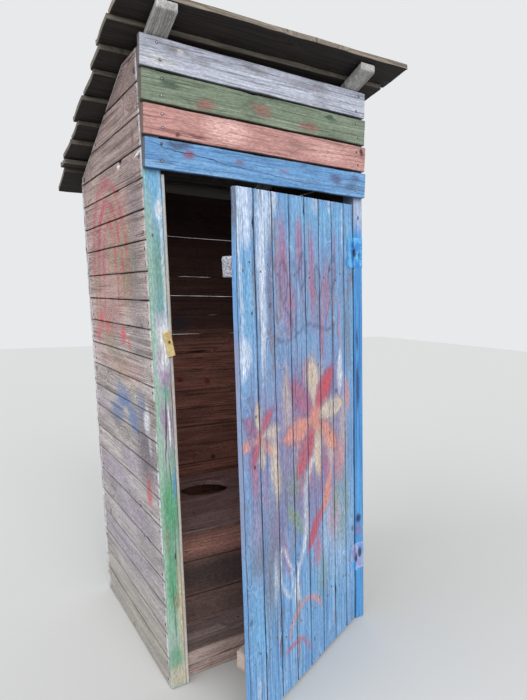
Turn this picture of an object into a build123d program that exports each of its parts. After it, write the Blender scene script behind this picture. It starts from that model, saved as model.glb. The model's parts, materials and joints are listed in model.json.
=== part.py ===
from build123d import *
import math
import os

# A small wooden outhouse: a plank box on four corner posts, a lean-to roof of lapped boards that
# falls to the back, a plank door hinged on the right post and a bench seat over an open pit.
# The frame has racked with age, so everything upright leans a little to the left.
# Millimetres. X runs to the right seen from the front, Y runs from the front to the back, Z is up.
# The origin is at ground level under the middle of the front sill. Every x below is measured at
# ground level, and a piece at height z stands lean * z further along X.

# Whole building
width = 1000.0
depth = 908.0
lean = -0.053
roof_pitch = 21.1
board_thickness = 22.0

# Corner posts
left_post_width = 42.0
right_post_width = 28.0
post_depth = 70.0
post_cover_thickness = 12.0

# Bottom frame and floor
sill_width = 45.0
sill_height = 85.0
sill_setback = 56.0
floor_thickness = 22.0

# Front boards over the doorway
header_count = 4
header_width = 103.0
header_gap = 8.0
header_top = 2422.0

# Gaps under the roof
rafter_rise_over_header = 10.0
side_wall_top = 2384.0
side_wall_roof_gap = 24.0
back_wall_top_gap = 3.0

# Rafters
rafter_width = 75.0
rafter_thickness = 28.0
rafter_front_overhang = 95.0
rafter_back_overhang = 130.0
left_rafter_inset = 32.0
right_rafter_inset = 30.0

# Roof boards, whose exposure is how far each runs down the slope before the next one shows. The
# last board takes what is left down to the rear overhang.
roof_board_thickness = 24.0
upper_board_exposures = (125.0, 125.0, 115.0, 140.0, 145.0, 125.0, 145.0, 60.0)
roof_board_lap = 25.0
roof_front_overhang = 106.0
roof_back_overhang = 136.0
roof_left_overhang = 89.0
roof_right_overhang = 100.0
first_board_extra = 26.0
roof_end_stagger = 7.0
roof_skew = 1.5

# Jamb strip beside the door
jamb_strip_width = 12.0
jamb_strip_thickness = 22.0
jamb_strip_top_gap = 12.0

# Door
door_open_angle = 24.4
door_thickness = 22.0
door_hinge_gap = 5.0
door_free_gap = 12.0
door_bottom = 8.0
door_hinge_side_top = 1955.0
door_free_side_top = 1888.0
door_top_corner_inset = 10.0
door_corner_start = 1640.0
ledge_height = 68.0
ledge_thickness = 42.0
ledge_free_inset = 3.0
ledge_hinge_inset = 34.0
top_ledge_bottom = 1606.0
bottom_ledge_bottom = 230.0

# Face hinges
hinge_height = 130.0
hinge_leaf_width = 50.0
hinge_leaf_thickness = 2.5
hinge_knuckle_radius = 6.0
hinge_pin_radius = 3.0
hinge_pin_clearance = 0.2
hinge_knuckle_gap = 0.5
hinge_notch_clearance = 1.5
top_hinge_centre = 1748.0
bottom_hinge_centre = 322.0

# Wooden turn-button on the left post
button_length = 91.0
button_width = 26.0
button_thickness = 13.0
button_pivot_from_top = 37.0
button_pivot_height = 1378.0
button_pivot_from_corner = 58.0
button_tilt = 13.3
button_seat_gap = 0.5
button_screw_radius = 2.4
button_screw_clearance = 0.2
button_head_radius = 5.0
button_head_thickness = 2.0

# Bench seat
seat_height_above_floor = 428.0
seat_front = 235.0
riser_setback = 10.0
seat_hole_width = 265.0
seat_hole_length = 200.0
seat_hole_from_front = 444.0
seat_hole_off_centre = -28.0
seat_post_clearance = 1.0
seat_cleat_size = 40.0

# Derived planes
half_width = width / 2
front = -(sill_setback + sill_width / 2)
back = front + depth
frame_front = front + board_thickness
frame_back = back - board_thickness
wall_inner = half_width - board_thickness
left_jamb = -wall_inner + left_post_width
right_jamb = wall_inner - right_post_width
front_post_back = frame_front + post_depth
cover_back = frame_front + post_cover_thickness
back_post_front = frame_back - post_depth
sill_front = front + sill_setback
sill_back = sill_front + sill_width
floor_top = sill_height + floor_thickness
seat_front_face = front + seat_front
riser_front = seat_front_face + riser_setback
riser_back = riser_front + board_thickness
seat_top_height = floor_top + seat_height_above_floor
seat_underside = seat_top_height - board_thickness
header_bottom = header_top - header_count * header_width - (header_count - 1) * header_gap
pitch_angle = math.radians(roof_pitch)
slope = math.tan(pitch_angle)
rafter_plumb_height = rafter_thickness / math.cos(pitch_angle)
roof_normal = (0, math.sin(pitch_angle), math.cos(pitch_angle))
roof_run = roof_front_overhang + depth + roof_back_overhang
roof_board_exposures = upper_board_exposures + (roof_run - sum(upper_board_exposures),)


def rafter_seat(y):
    """Height of the plane that the rafters rest on, at distance y along the building."""
    return header_top + rafter_rise_over_header - slope * (y - front)


def panel(outline, y0, y1):
    """A piece with the front outline (x, z) from y0 to y1, each point shifted by the lean."""
    points = [(x + lean * z, z) for x, z in outline]
    face = Plane.XZ.offset(-y0) * Polygon(*points, align=None)
    return extrude(face, amount=y0 - y1)


def timber(x0, x1, y0, y1, z0, z1):
    """A squared piece of the leaning frame between two corners."""
    return panel([(x0, z0), (x1, z0), (x1, z1), (x0, z1)], y0, y1)


def block(x0, x1, y0, y1, z0, z1):
    """A square-cornered block between two corners."""
    corner = (Align.MIN, Align.MIN, Align.MIN)
    return Pos(x0, y0, z0) * Box(x1 - x0, y1 - y0, z1 - z0, align=corner)


def rod(radius, z0, z1):
    """A round bar on the local Z axis."""
    return Pos(0, 0, z0) * Cylinder(radius, z1 - z0, align=(Align.CENTER, Align.CENTER, Align.MIN))


def saw_to_roof(piece, rise=0.0):
    """Cut the top of a piece along the roof slope, rise above the plane the rafters rest on."""
    cut = Plane(origin=(0, front, rafter_seat(front) + rise), x_dir=(1, 0, 0), z_dir=roof_normal)
    return split(piece, bisect_by=cut, keep=Keep.BOTTOM)


def make_corner_posts():
    """Four posts, cut to the roof slope at the top. The front ones lap over the wall boards' ends."""
    posts = {}
    top = rafter_seat(front)
    for end, y0, y1 in (("front", frame_front, front_post_back), ("back", back_post_front, frame_back)):
        left = timber(-wall_inner, left_jamb, y0, y1, 0, top)
        right = timber(right_jamb, wall_inner, y0, y1, 0, top)
        posts["left_" + end + "_post"] = saw_to_roof(left)
        posts["right_" + end + "_post"] = saw_to_roof(right)
    left_cover = timber(-half_width, -wall_inner, frame_front, cover_back, 0, side_wall_top)
    right_cover = timber(wall_inner, half_width, frame_front, cover_back, 0, side_wall_top)
    posts["left_front_post"] = posts["left_front_post"] + left_cover
    posts["right_front_post"] = posts["right_front_post"] + right_cover
    return posts


def make_bottom_frame():
    """Sills on the ground between the posts, and the bearer under the rear edge of the floor."""
    bearer_front = riser_back - sill_width
    return {
        "front_sill": timber(left_jamb, right_jamb, sill_front, sill_back, 0, floor_top),
        "floor_bearer": timber(left_jamb, right_jamb, bearer_front, riser_back, 0, sill_height),
        "left_sill": timber(-wall_inner, left_jamb, front_post_back, back_post_front, 0, sill_height),
        "right_sill": timber(right_jamb, wall_inner, front_post_back, back_post_front, 0, sill_height),
        "back_sill": timber(left_jamb, right_jamb, frame_back - sill_width, frame_back, 0, sill_height),
    }


def make_floor():
    """Floor boards behind the front sill, flush with its top, resting on the side sills."""
    return {"floor": timber(-wall_inner, wall_inner, sill_back, riser_back, sill_height, floor_top)}


def make_walls():
    """Side walls, level at the top near the front and then cut to the slope, and the back wall."""
    left = timber(-half_width, -wall_inner, cover_back, frame_back, 0, side_wall_top)
    right = timber(wall_inner, half_width, cover_back, frame_back, 0, side_wall_top)
    cut_rise = rafter_plumb_height - side_wall_roof_gap
    back_top = rafter_seat(back) - back_wall_top_gap
    return {
        "left_wall": saw_to_roof(left, cut_rise),
        "right_wall": saw_to_roof(right, cut_rise),
        "back_wall": timber(-half_width, half_width, frame_back, back, 0, back_top),
    }


def make_headers():
    """Level boards nailed across the front posts over the doorway, counted from the top."""
    boards = {}
    for number in range(header_count):
        top = header_top - number * (header_width + header_gap)
        bottom = top - header_width
        middle = lean * (top + bottom) / 2
        name = "header_board_" + str(number + 1)
        boards[name] = block(middle - half_width, middle + half_width, front, frame_front, bottom, top)
    return boards


def make_rafter(x0):
    """A plank laid flat on the post tops, with plumb ends past the front and the back walls."""
    y0 = front - rafter_front_overhang
    z0 = rafter_seat(y0)
    run = rafter_front_overhang + depth + rafter_back_overhang
    corner = Plane(origin=(x0 + lean * z0, y0, z0), x_dir=(1, 0, 0), z_dir=(0, -1, 0))
    end = corner * Rectangle(rafter_width, rafter_plumb_height, align=(Align.MIN, Align.MIN))
    return Solid.extrude(end.face(), (-lean * slope * run, run, -slope * run))


def make_rafters():
    """Two rafters that follow the slope from post to post."""
    return {
        "left_rafter": make_rafter(-half_width + left_rafter_inset),
        "right_rafter": make_rafter(half_width - right_rafter_inset - rafter_width),
    }


def lap_tilts():
    """How far each roof board is tipped up from the rafters so that it just rides over the next.

    The last board lies flat. Every other board has its upper edge on the rafters, and its
    underside has to clear both the upper corner of the next board and, at its own lower edge,
    that board's top face.
    """
    tilts = [0.0]
    for exposure in reversed(roof_board_exposures[:-1]):
        lower = tilts[0]
        down_slope = exposure / math.cos(pitch_angle)
        length = down_slope + roof_board_lap
        over_corner = math.atan2(roof_board_thickness * math.cos(lower),
                                 down_slope - roof_board_thickness * math.sin(lower))
        height_missing = roof_board_thickness - down_slope * math.sin(lower)
        over_face = lower + math.asin(height_missing / length)
        tilts.insert(0, max(over_corner, over_face))
    return tilts


def make_roof_boards():
    """Boards across the rafters, counted from the front, each lapped over the next one down."""
    boards = {}
    y = front - roof_front_overhang
    for number, (exposure, tilt) in enumerate(zip(roof_board_exposures, lap_tilts())):
        is_last = number == len(roof_board_exposures) - 1
        z = rafter_seat(y) + rafter_plumb_height
        length = exposure / math.cos(pitch_angle) + (0 if is_last else roof_board_lap)
        x0 = -half_width - roof_left_overhang + roof_end_stagger * math.cos(2.4 * number)
        x1 = half_width + roof_right_overhang + roof_end_stagger * math.cos(1.7 * number)
        x1 = x1 + (first_board_extra if number == 0 else 0)
        fall = pitch_angle - tilt
        middle = lean * z
        section_plane = Plane(origin=(middle + x0, y, z), x_dir=(0, math.cos(fall), -math.sin(fall)),
                              z_dir=(1, 0, 0))
        section = section_plane * Rectangle(length, roof_board_thickness, align=(Align.MIN, Align.MIN))
        board = extrude(section, amount=x1 - x0)
        name = "roof_board_" + str(number + 1)
        boards[name] = board.rotate(Axis((middle, y, z), roof_normal), -roof_skew)
        y = y + exposure
    return boards


def make_jamb_strip():
    """A narrow strip on the inner face of the left front post."""
    strip = timber(left_jamb, left_jamb + jamb_strip_width, frame_front,
                   frame_front + jamb_strip_thickness, 0, header_bottom - jamb_strip_top_gap)
    return {"jamb_strip": strip}


# The hinge axis stands in front of the gap between the door and the right post, and leans too
hinge_axis_x = right_jamb - door_hinge_gap / 2
hinge_axis_y = frame_front - hinge_knuckle_radius - hinge_knuckle_gap
hinge_axis = Axis((hinge_axis_x, hinge_axis_y, 0), (lean, 0, 1))
door_hinge_edge = right_jamb - door_hinge_gap
door_free_edge = left_jamb + jamb_strip_width + door_free_gap


def swing_door(piece):
    """Turn a piece drawn with the door shut to where the open door stands."""
    return piece.rotate(hinge_axis, door_open_angle)


def make_door():
    """Door boards with a top edge that drops to the free side, and two ledges inside.

    The free edge draws in a little towards its upper corner.
    """
    outline = [(door_free_edge, door_bottom), (door_hinge_edge, door_bottom),
               (door_hinge_edge, door_hinge_side_top),
               (door_free_edge + door_top_corner_inset, door_free_side_top),
               (door_free_edge, door_corner_start)]
    door_back = frame_front + door_thickness
    pieces = {"door_boards": panel(outline, frame_front, door_back)}
    x0 = door_free_edge + ledge_free_inset
    x1 = door_hinge_edge - ledge_hinge_inset
    for name, z in (("door_top_ledge", top_ledge_bottom), ("door_bottom_ledge", bottom_ledge_bottom)):
        pieces[name] = timber(x0, x1, door_back, door_back + ledge_thickness, z, z + ledge_height)
    return {name: swing_door(piece) for name, piece in pieces.items()}


def make_hinge(centre):
    """A face hinge: the post leaf carries the pin and the end knuckles, the door leaf the middle.

    The leaves are drawn upright round the pin, with the lower end at the local origin.
    """
    third = hinge_height / 3
    lower_gap = third - hinge_knuckle_gap
    upper_gap = 2 * third + hinge_knuckle_gap
    plate_back = hinge_knuckle_radius + hinge_knuckle_gap
    plate_front = plate_back - hinge_leaf_thickness
    reach = hinge_knuckle_radius + hinge_notch_clearance
    post_plate = block(0, hinge_leaf_width, plate_front, plate_back, 0, hinge_height)
    notch = block(-reach, reach, plate_front, plate_back, lower_gap, upper_gap)
    end_knuckles = rod(hinge_knuckle_radius, 0, lower_gap) + rod(hinge_knuckle_radius, upper_gap, hinge_height)
    post_leaf = post_plate - notch + end_knuckles + rod(hinge_pin_radius, 0, hinge_height)
    door_plate = block(-hinge_leaf_width, -reach, plate_front, plate_back, 0, hinge_height)
    tongue = block(-reach, 0, plate_front, plate_back, third, 2 * third)
    bore = rod(hinge_pin_radius + hinge_pin_clearance, third, 2 * third)
    door_leaf = door_plate + tongue + rod(hinge_knuckle_radius, third, 2 * third) - bore
    z0 = centre - hinge_height / 2
    seat = Plane(origin=(hinge_axis_x + lean * z0, hinge_axis_y, z0), x_dir=(1, 0, -lean), z_dir=(lean, 0, 1))
    return seat * post_leaf, swing_door(seat * door_leaf)


def make_hinges():
    """The two face hinges of the door."""
    pieces = {}
    for name, centre in (("top_hinge", top_hinge_centre), ("bottom_hinge", bottom_hinge_centre)):
        post_leaf, door_leaf = make_hinge(centre)
        pieces[name + "_post_leaf"] = post_leaf
        pieces[name + "_door_leaf"] = door_leaf
    return pieces


def make_turn_button():
    """A strip of board that turns on a screw in the left post and laps over the shut door.

    Both are drawn round the screw, whose axis is the local Z axis and points out of the post.
    """
    back_face = button_seat_gap
    front_face = back_face + button_thickness
    stick = block(-button_width / 2, button_width / 2, button_pivot_from_top - button_length,
                  button_pivot_from_top, back_face, front_face)
    stick = stick - rod(button_screw_radius + button_screw_clearance, back_face, front_face)
    head_back = front_face + button_seat_gap
    screw = rod(button_screw_radius, 0, head_back)
    screw = screw + rod(button_head_radius, head_back, head_back + button_head_thickness)
    x = -half_width + button_pivot_from_corner + lean * button_pivot_height
    seat = Plane(origin=(x, frame_front, button_pivot_height), x_dir=(1, 0, 0), z_dir=(0, -1, 0))
    return {"turn_button": seat * Rot(0, 0, button_tilt) * stick, "turn_button_screw": seat * screw}


def make_seat():
    """Bench seat with its hole, the boards that close its front, and the cleats under its ends."""
    z0 = seat_underside
    z1 = seat_top_height
    top = timber(-wall_inner, wall_inner, seat_front_face, frame_back, z0, z1)
    notch_front = back_post_front - seat_post_clearance
    top = top - timber(-wall_inner, left_jamb + seat_post_clearance, notch_front, frame_back, z0, z1)
    top = top - timber(right_jamb - seat_post_clearance, wall_inner, notch_front, frame_back, z0, z1)
    hole_place = Pos(seat_hole_off_centre + lean * z1, seat_front_face + seat_hole_from_front, z0)
    hole = hole_place * extrude(Ellipse(seat_hole_width / 2, seat_hole_length / 2), amount=board_thickness)
    cleat_bottom = z0 - seat_cleat_size
    inner = wall_inner - seat_cleat_size
    return {
        "seat_top": top - hole,
        "seat_front_boards": timber(-wall_inner, wall_inner, riser_front, riser_back, floor_top, z0),
        "left_seat_cleat": timber(-wall_inner, -inner, riser_back, back_post_front, cleat_bottom, z0),
        "right_seat_cleat": timber(inner, wall_inner, riser_back, back_post_front, cleat_bottom, z0),
    }


pieces = {}
for make in (make_corner_posts, make_bottom_frame, make_floor, make_walls, make_headers, make_rafters,
             make_roof_boards, make_jamb_strip, make_door, make_hinges, make_turn_button, make_seat):
    pieces.update(make())

os.makedirs("parts", exist_ok=True)
for name, piece in pieces.items():
    export_step(piece, "parts/" + name + ".step")
print(len(pieces), "pieces")
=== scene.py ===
"""Looks of a small leaning plank outhouse: its boards, paint, nails and hinges.

Metres throughout. X runs right seen from the front, Y runs to the back and Z is up. Most boards are
drawn in the upright building, where x is measured at ground level, and are then leaned over with
the rest of the frame. The door's boards are drawn with the door shut and then swung open.
"""
import json
import math
from collections import namedtuple

import bpy
import numpy as np
from mathutils import Matrix, Vector


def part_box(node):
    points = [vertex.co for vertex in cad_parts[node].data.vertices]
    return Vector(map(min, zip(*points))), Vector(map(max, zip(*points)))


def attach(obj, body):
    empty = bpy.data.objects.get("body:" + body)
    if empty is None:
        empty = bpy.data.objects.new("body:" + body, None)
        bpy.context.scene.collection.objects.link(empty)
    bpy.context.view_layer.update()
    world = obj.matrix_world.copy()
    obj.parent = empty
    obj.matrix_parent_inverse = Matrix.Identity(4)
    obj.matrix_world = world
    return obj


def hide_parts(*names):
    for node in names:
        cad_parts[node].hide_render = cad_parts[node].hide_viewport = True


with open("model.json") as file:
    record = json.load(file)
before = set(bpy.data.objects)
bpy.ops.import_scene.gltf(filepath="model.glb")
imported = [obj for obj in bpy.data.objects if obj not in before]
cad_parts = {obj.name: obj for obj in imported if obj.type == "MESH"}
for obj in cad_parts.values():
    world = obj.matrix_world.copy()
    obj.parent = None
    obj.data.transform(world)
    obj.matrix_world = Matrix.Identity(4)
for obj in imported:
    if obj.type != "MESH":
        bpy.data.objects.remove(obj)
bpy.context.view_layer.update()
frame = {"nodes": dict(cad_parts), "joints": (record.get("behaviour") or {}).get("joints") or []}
rng = np.random.default_rng(11)

# The photograph's frame and the place it was taken from
PHOTO_HEIGHT = 700
FOCAL_PIXELS = 539.167
SENSOR_SIZE = 36.0
CAMERA_PLACE = (-1.2447, -1.9202, 1.5534)
CAMERA_YAW = math.radians(31.496)
CAMERA_PITCH = math.radians(-5.784)
CAMERA_ROLL = math.radians(0.990)

# Boards: the radius of their eased edges and the strip beside it, the grid along and across them,
# the lengths of their waves, and how far the dirt at the edges and the wear at the ends reach
ARRIS = 0.0016
SOFT_STRIP = 0.004
STATION_STEP = 0.024
ROW_STEP = 0.018
FINE = {"step": 0.012, "row_step": 0.008}
LONG_WAVE = 0.41
SHORT_WAVE = 0.137
FRAY_WAVE = 0.019
RIM_REACH = 0.006
TIP_REACH = 0.03
GROUND_GAP = 0.0015
POST_FACE_THICKNESS = 0.012
DOOR_OPEN = math.radians(24.4)

# Where one board of a wall ends and the next begins, as heights in the upright building
SIDE_WALL_JOINTS = (0.125, 0.231, 0.339, 0.446, 0.553, 0.667, 0.780, 0.887, 0.998, 1.102, 1.208, 1.313,
                    1.422, 1.527, 1.632, 1.743, 1.850, 1.957, 2.063, 2.170, 2.277)
SIDE_WALL_GAPS = (0.002, 0.002, 0.002, 0.0025, 0.002, 0.0025, 0.002, 0.0028, 0.0025, 0.002, 0.0025, 0.003,
                  0.003, 0.0035, 0.0035, 0.004, 0.0045, 0.0035, 0.0055, 0.003, 0.0045)
BACK_WALL_FIRST_JOINT = 0.0863
BACK_WALL_PITCH = 0.1041
BACK_WALL_GAPS = (0.0004, 0.0004, 0.0004, 0.0004, 0.0004, 0.0004, 0.0004, 0.0004, 0.0007, 0.0004, 0.0009,
                  0.0004, 0.0019, 0.0004, 0.0011, 0.0007, 0.0008, 0.0028, 0.0005)
DOOR_JOINTS = (-0.311, -0.203, -0.091, 0.021, 0.133, 0.244, 0.356)
DOOR_GAPS = (0.0042,) * len(DOOR_JOINTS)
RISER_JOINTS = (0.225, 0.385)
RISER_GAPS = (0.003,) * len(RISER_JOINTS)
SEAT_JOINTS = (0.3345, 0.4745, 0.722)
SEAT_GAPS = (0.002,) * len(SEAT_JOINTS)
SEAT_HOLE_CENTRE = (-0.028, 0.6005)
SEAT_HOLE_HALF = (0.1325, 0.100)
FLOOR_JOINT = 0.078
FLOOR_GAP = 0.002
ROOF_BOARDS = 9

door_joint = next(j for j in frame["joints"] if j["name"] == "door_hinge")
HINGE_POINT = np.array(door_joint["pos_m"])
HINGE_AXIS = np.array(door_joint["axis"])
LEAN = HINGE_AXIS[0] / HINGE_AXIS[2]
HINGE_X = HINGE_POINT[0] - LEAN * HINGE_POINT[2]


def turn_about_hinge(points, angle):
    """Turns the points about the door's leaning hinge axis."""
    arm = points - HINGE_POINT
    along = np.outer(arm @ HINGE_AXIS, HINGE_AXIS)
    sideways = np.cross(HINGE_AXIS, arm)
    return HINGE_POINT + along + (arm - along) * math.cos(angle) + sideways * math.sin(angle)


def as_drawn(points):
    """Leaves the points where they are."""
    return points


def leaned(points):
    """Shears the upright building sideways: x grows by LEAN times the height."""
    return points + np.outer(points[:, 2], (LEAN, 0, 0))


def unleaned(points):
    """Takes the lean out again."""
    return points - np.outer(points[:, 2], (LEAN, 0, 0))


def swung(points):
    """Leans the shut door and swings it to where it stands open."""
    return turn_about_hinge(leaned(points), DOOR_OPEN)


def unswung(points):
    """Shuts the open door and stands it upright."""
    return unleaned(turn_about_hinge(points, -DOOR_OPEN))


def node_points(node):
    """A node's vertices as an array."""
    vertices = frame["nodes"][node].data.vertices
    points = np.zeros(len(vertices) * 3)
    vertices.foreach_get("co", points)
    return points.reshape(-1, 3)


def upright_box(node, back=unleaned):
    """Lowest and highest corner of a node once it is shut and upright."""
    points = back(node_points(node))
    return points.min(0), points.max(0)


def standing_box(node):
    """Lowest and highest corner of a node where it stands."""
    low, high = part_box(node)
    return np.array(low), np.array(high)


def edges_of(node):
    """The left front lower corner of a straight timber, and its long, middle and short edges."""
    points = node_points(node)
    corner = points[np.argmin(points @ (1, 0.5, 0.2))]
    arms = points - corner
    reach = np.linalg.norm(arms, axis=1)
    short = arms[np.argmin(np.where(reach > 0.001, reach, np.inf))]
    beside = np.linalg.norm(arms - short, axis=1)
    middle = arms[np.argmin(np.where((reach > 0.001) & (beside > 0.001), reach, np.inf))]
    long = arms[np.argmax(reach)] - short - middle
    return corner, long, middle, short


# Boards as meshes


# Points, faces and wood coordinates of one board before it is placed. The facts are its tone, the
# nearness to a long edge and the nearness to an end, and side goes from 0 in front to 1 behind.
Board = namedtuple("Board", "points faces timber facts side")


def section_row(width, ease, row_step):
    """Half a rounded section: a quarter round, the flat face and a quarter round back up."""
    turn = np.linspace(0, math.pi / 2, 4)
    out = ease * (1 - np.cos(turn))
    rise = ease * (1 - np.sin(turn))
    inner = max(width - 2 * ease - 2 * SOFT_STRIP, 0.0005)
    margin = (width - inner) / 2
    flat = margin + inner * np.linspace(0, 1, max(2, round(inner / row_step) + 1))
    across = np.concatenate([out, flat, width - out[::-1]])
    depth = np.concatenate([rise, np.zeros(len(flat)), rise[::-1]])
    return across, depth


def waves(place, reach):
    """A slow random wander: two sines of different length added up."""
    long_wave = np.sin(2 * math.pi * place / LONG_WAVE + rng.uniform(0, 7))
    short_wave = np.sin(2 * math.pi * place / SHORT_WAVE + rng.uniform(0, 7))
    return reach * (0.65 * long_wave + 0.35 * short_wave)


def ring_faces(stations, ring):
    """Quads between neighbouring rings, and a strip of quads that closes each end."""
    i, j = np.meshgrid(np.arange(stations - 1), np.arange(ring), indexing="ij")
    after = (j + 1) % ring
    sides = np.stack([i * ring + j, i * ring + after, (i + 1) * ring + after, (i + 1) * ring + j], -1)
    a = np.arange(ring // 2 - 1)
    start = np.stack([a, ring - 1 - a, ring - 2 - a, a + 1], -1)
    stop = (stations - 1) * ring + start[:, ::-1]
    return np.concatenate([sides.reshape(-1, 4), start, stop])


def board_grid(length, width, thick, ease, step, row_step):
    """Arrays u, v and w of a board's rings: the rounded section at every station along it.

    The first and last ring are drawn in by the ease on every side, which rounds the ends.
    """
    row_v, row_w = section_row(width, ease, row_step)
    ring_v = np.concatenate([row_v, row_v[::-1]])[None, :]
    ring_w = np.concatenate([row_w, thick - row_w[::-1]])[None, :]
    inner = np.arange(ease + SOFT_STRIP, length - ease - SOFT_STRIP, step)
    stations = np.concatenate([[0, ease], inner, [length - ease, length]])[:, None]
    inset = np.zeros(stations.shape)
    inset[[0, -1]] = ease
    u = np.repeat(stations, ring_v.shape[1], 1)
    return u, ring_v + inset * (1 - 2 * ring_v / width), ring_w + inset * (1 - 2 * ring_w / thick)


def edge_bites(u, share, notches):
    """How far the notches push the low and the high edge: depth * exp(-((u - place) / half_length)^2).

    Each notch is (place, edge, half_length, depth) and fades out over a third of the width.
    """
    low, high = 0, 0
    for place, edge, half_length, depth in notches:
        bite = depth * np.exp(-((u - place) / half_length) ** 2)
        if edge == "low":
            low = low + bite * np.clip(1 - 3 * share, 0, 1)
        else:
            high = high - bite * np.clip(3 * share - 2, 0, 1)
    return low, high


def plank(corner, along, across, through, start=None, stop=None, notches=(), wander=0.0007, ease=ARRIS,
          ragged=0.0008, draw_in=None, cup=0.0, step=STATION_STEP, row_step=ROW_STEP):
    """One board: corner + u * along + v * across + w * through over a rounded section.

    Both long edges wander slowly and take the notches' bites. Each face dips a little between its
    edges. The ends follow start(v, w) and stop(v, w), the u where the board begins and ends, and
    fray. The low edge also moves in by draw_in(u), and the front face is hollow by cup in its middle.
    """
    length, width, thick = (float(np.linalg.norm(e)) for e in (along, across, through))
    u, v, w = board_grid(length, width, thick, ease, step, row_step)
    share = v / width
    low_edge = waves(u, wander)
    high_edge = waves(u, wander)
    if draw_in is not None:
        low_edge = low_edge + draw_in(u)
    low_bite, high_bite = edge_bites(u, share, notches)
    moved_v = v + (low_edge + low_bite) * (1 - share) + (high_edge + high_bite) * share
    dip = 0.5 * wander * (1 + waves(u + 3 * v, 1.0)) * (1 - 2 * w / thick)
    moved_w = w + (dip + cup * np.sin(math.pi * share) * (1 - w / thick))
    first = 0 if start is None else start(v, w)
    last = length if stop is None else stop(v, w)
    fray = ragged * np.sin(v * 2 * math.pi / FRAY_WAVE + rng.uniform(0, 7))
    share_u = u / length
    moved_u = first + share_u * (last - first) + fray * (1 - share_u) ** 40 - fray * share_u ** 40
    steps = np.stack([moved_u, moved_v, moved_w], -1).reshape(-1, 3)
    units = np.array([edge / np.linalg.norm(edge) for edge in (along, across, through)])
    faces = ring_faces(*u.shape)
    if np.linalg.det(units) < 0:
        faces = faces[:, ::-1]
    pith_v, pith_w = rng.uniform(-0.5, 1.5) * width, rng.uniform(0.02, 0.06)
    timber = steps + (rng.uniform(0, 60), -pith_v, pith_w)
    to_edge = np.minimum(v, width - v).ravel()
    to_end = np.minimum(moved_u - first, last - moved_u).ravel()
    facts = np.stack([np.full(len(steps), rng.uniform(0, 1)), np.exp(-np.abs(to_edge) / RIM_REACH),
                      np.exp(-np.abs(to_end) / TIP_REACH)], -1)
    return Board(np.asarray(corner) + steps @ units, faces, timber, facts, (w / thick).ravel())


def pulled_in(corner, along, across, through, ends, sides):
    """The same timber, shorter by ends at each end and narrower by sides at each long edge."""
    unit_along = along / np.linalg.norm(along)
    unit_across = across / np.linalg.norm(across)
    corner = corner + ends * unit_along + sides * unit_across
    return corner, along - 2 * ends * unit_along, across - 2 * sides * unit_across, through


def squared(low, high, grain="x", through="y", **shape):
    """A plank that fills the box from low to high, with its length and thickness along those axes."""
    names = "xyz"
    other = next(n for n in names if n not in (grain, through))
    size = np.asarray(high) - np.asarray(low)
    edges = [size[names.index(n)] * np.eye(3)[names.index(n)] for n in (grain, other, through)]
    return plank(np.asarray(low), *edges, **shape)


def store(mesh, name, values):
    """Keeps a number, or three numbers, with every point of the mesh under that name."""
    kind, field = ("FLOAT", "value") if values.ndim == 1 else ("FLOAT_VECTOR", "vector")
    layer = mesh.attributes.new(name, kind, "POINT")
    layer.data.foreach_set(field, values.astype(np.float32).ravel())


def make_piece(name, boards, material, body="hut", replaces=(), place=as_drawn, spray=None):
    """Joins the boards into one object, keeps their wood coordinates and puts them in place.

    A spray is a function that turns the upright points into a canvas of sprayed colours.
    """
    offsets = np.cumsum([0] + [len(b.points) for b in boards[:-1]])
    points = np.concatenate([b.points for b in boards])
    faces = np.concatenate([b.faces + o for b, o in zip(boards, offsets)])
    mesh = bpy.data.meshes.new(name)
    mesh.from_pydata(place(points).tolist(), [], faces.tolist())
    store(mesh, "spot", points)
    for field in ("timber", "facts", "side"):
        store(mesh, field, np.concatenate([getattr(b, field) for b in boards]))
    if spray:
        canvas = spray(points)
        store(mesh, "spray", canvas.colour)
        store(mesh, "cover", canvas.cover)
    finish_mesh(name, mesh, material, body, replaces)


def finish_mesh(name, mesh, material, body, replaces=()):
    """Makes the object of a mesh, with smooth faces and sharp corners, and lets it ride on its body."""
    mesh.validate()
    mesh.update()
    mesh.polygons.foreach_set("use_smooth", np.ones(len(mesh.polygons), bool))
    mesh.set_sharp_from_angle(angle=math.radians(38))
    mesh.materials.append(material)
    piece = bpy.data.objects.new(name, mesh)
    bpy.context.scene.collection.objects.link(piece)
    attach(piece, body)
    if replaces:
        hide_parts(*replaces)


# Sprayed paint


def smooth_step(value):
    """3 t^2 - 2 t^3, with t held between 0 and 1."""
    t = np.clip(value, 0, 1)
    return t * t * (3 - 2 * t)


def drift(first, second, reach):
    """A fixed uneven shift of at most reach: three sines of both coordinates added up."""
    slow = np.sin(2 * math.pi * (2.3 * first + 1.7 * second) + 0.7)
    middle = np.sin(2 * math.pi * (7.3 * first - 5.9 * second) + 2.1)
    fast = np.sin(2 * math.pi * (17.1 * second + 12.7 * first) + 4.4)
    return reach * (0.5 * slow + 0.3 * middle + 0.2 * fast)


def arc_path(x, z, half_x, half_z, start, stop):
    """Points x + half_x * cos(a), z + half_z * sin(a) for the angles from start to stop in degrees."""
    turn = np.radians(np.linspace(start, stop, 15))
    return np.stack([x + half_x * np.cos(turn), z + half_z * np.sin(turn)], -1)


def wave_path(start, stop, bends, reach):
    """A straight way from start to stop, pushed aside by reach * sin(pi * bends * t)."""
    t = np.linspace(0, 1, 19)[:, None]
    way = np.array(stop, float) - np.array(start, float)
    aside = np.array([way[1], -way[0]]) / np.linalg.norm(way)
    return np.array(start) + t * way + reach * np.sin(math.pi * bends * t) * aside


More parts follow.
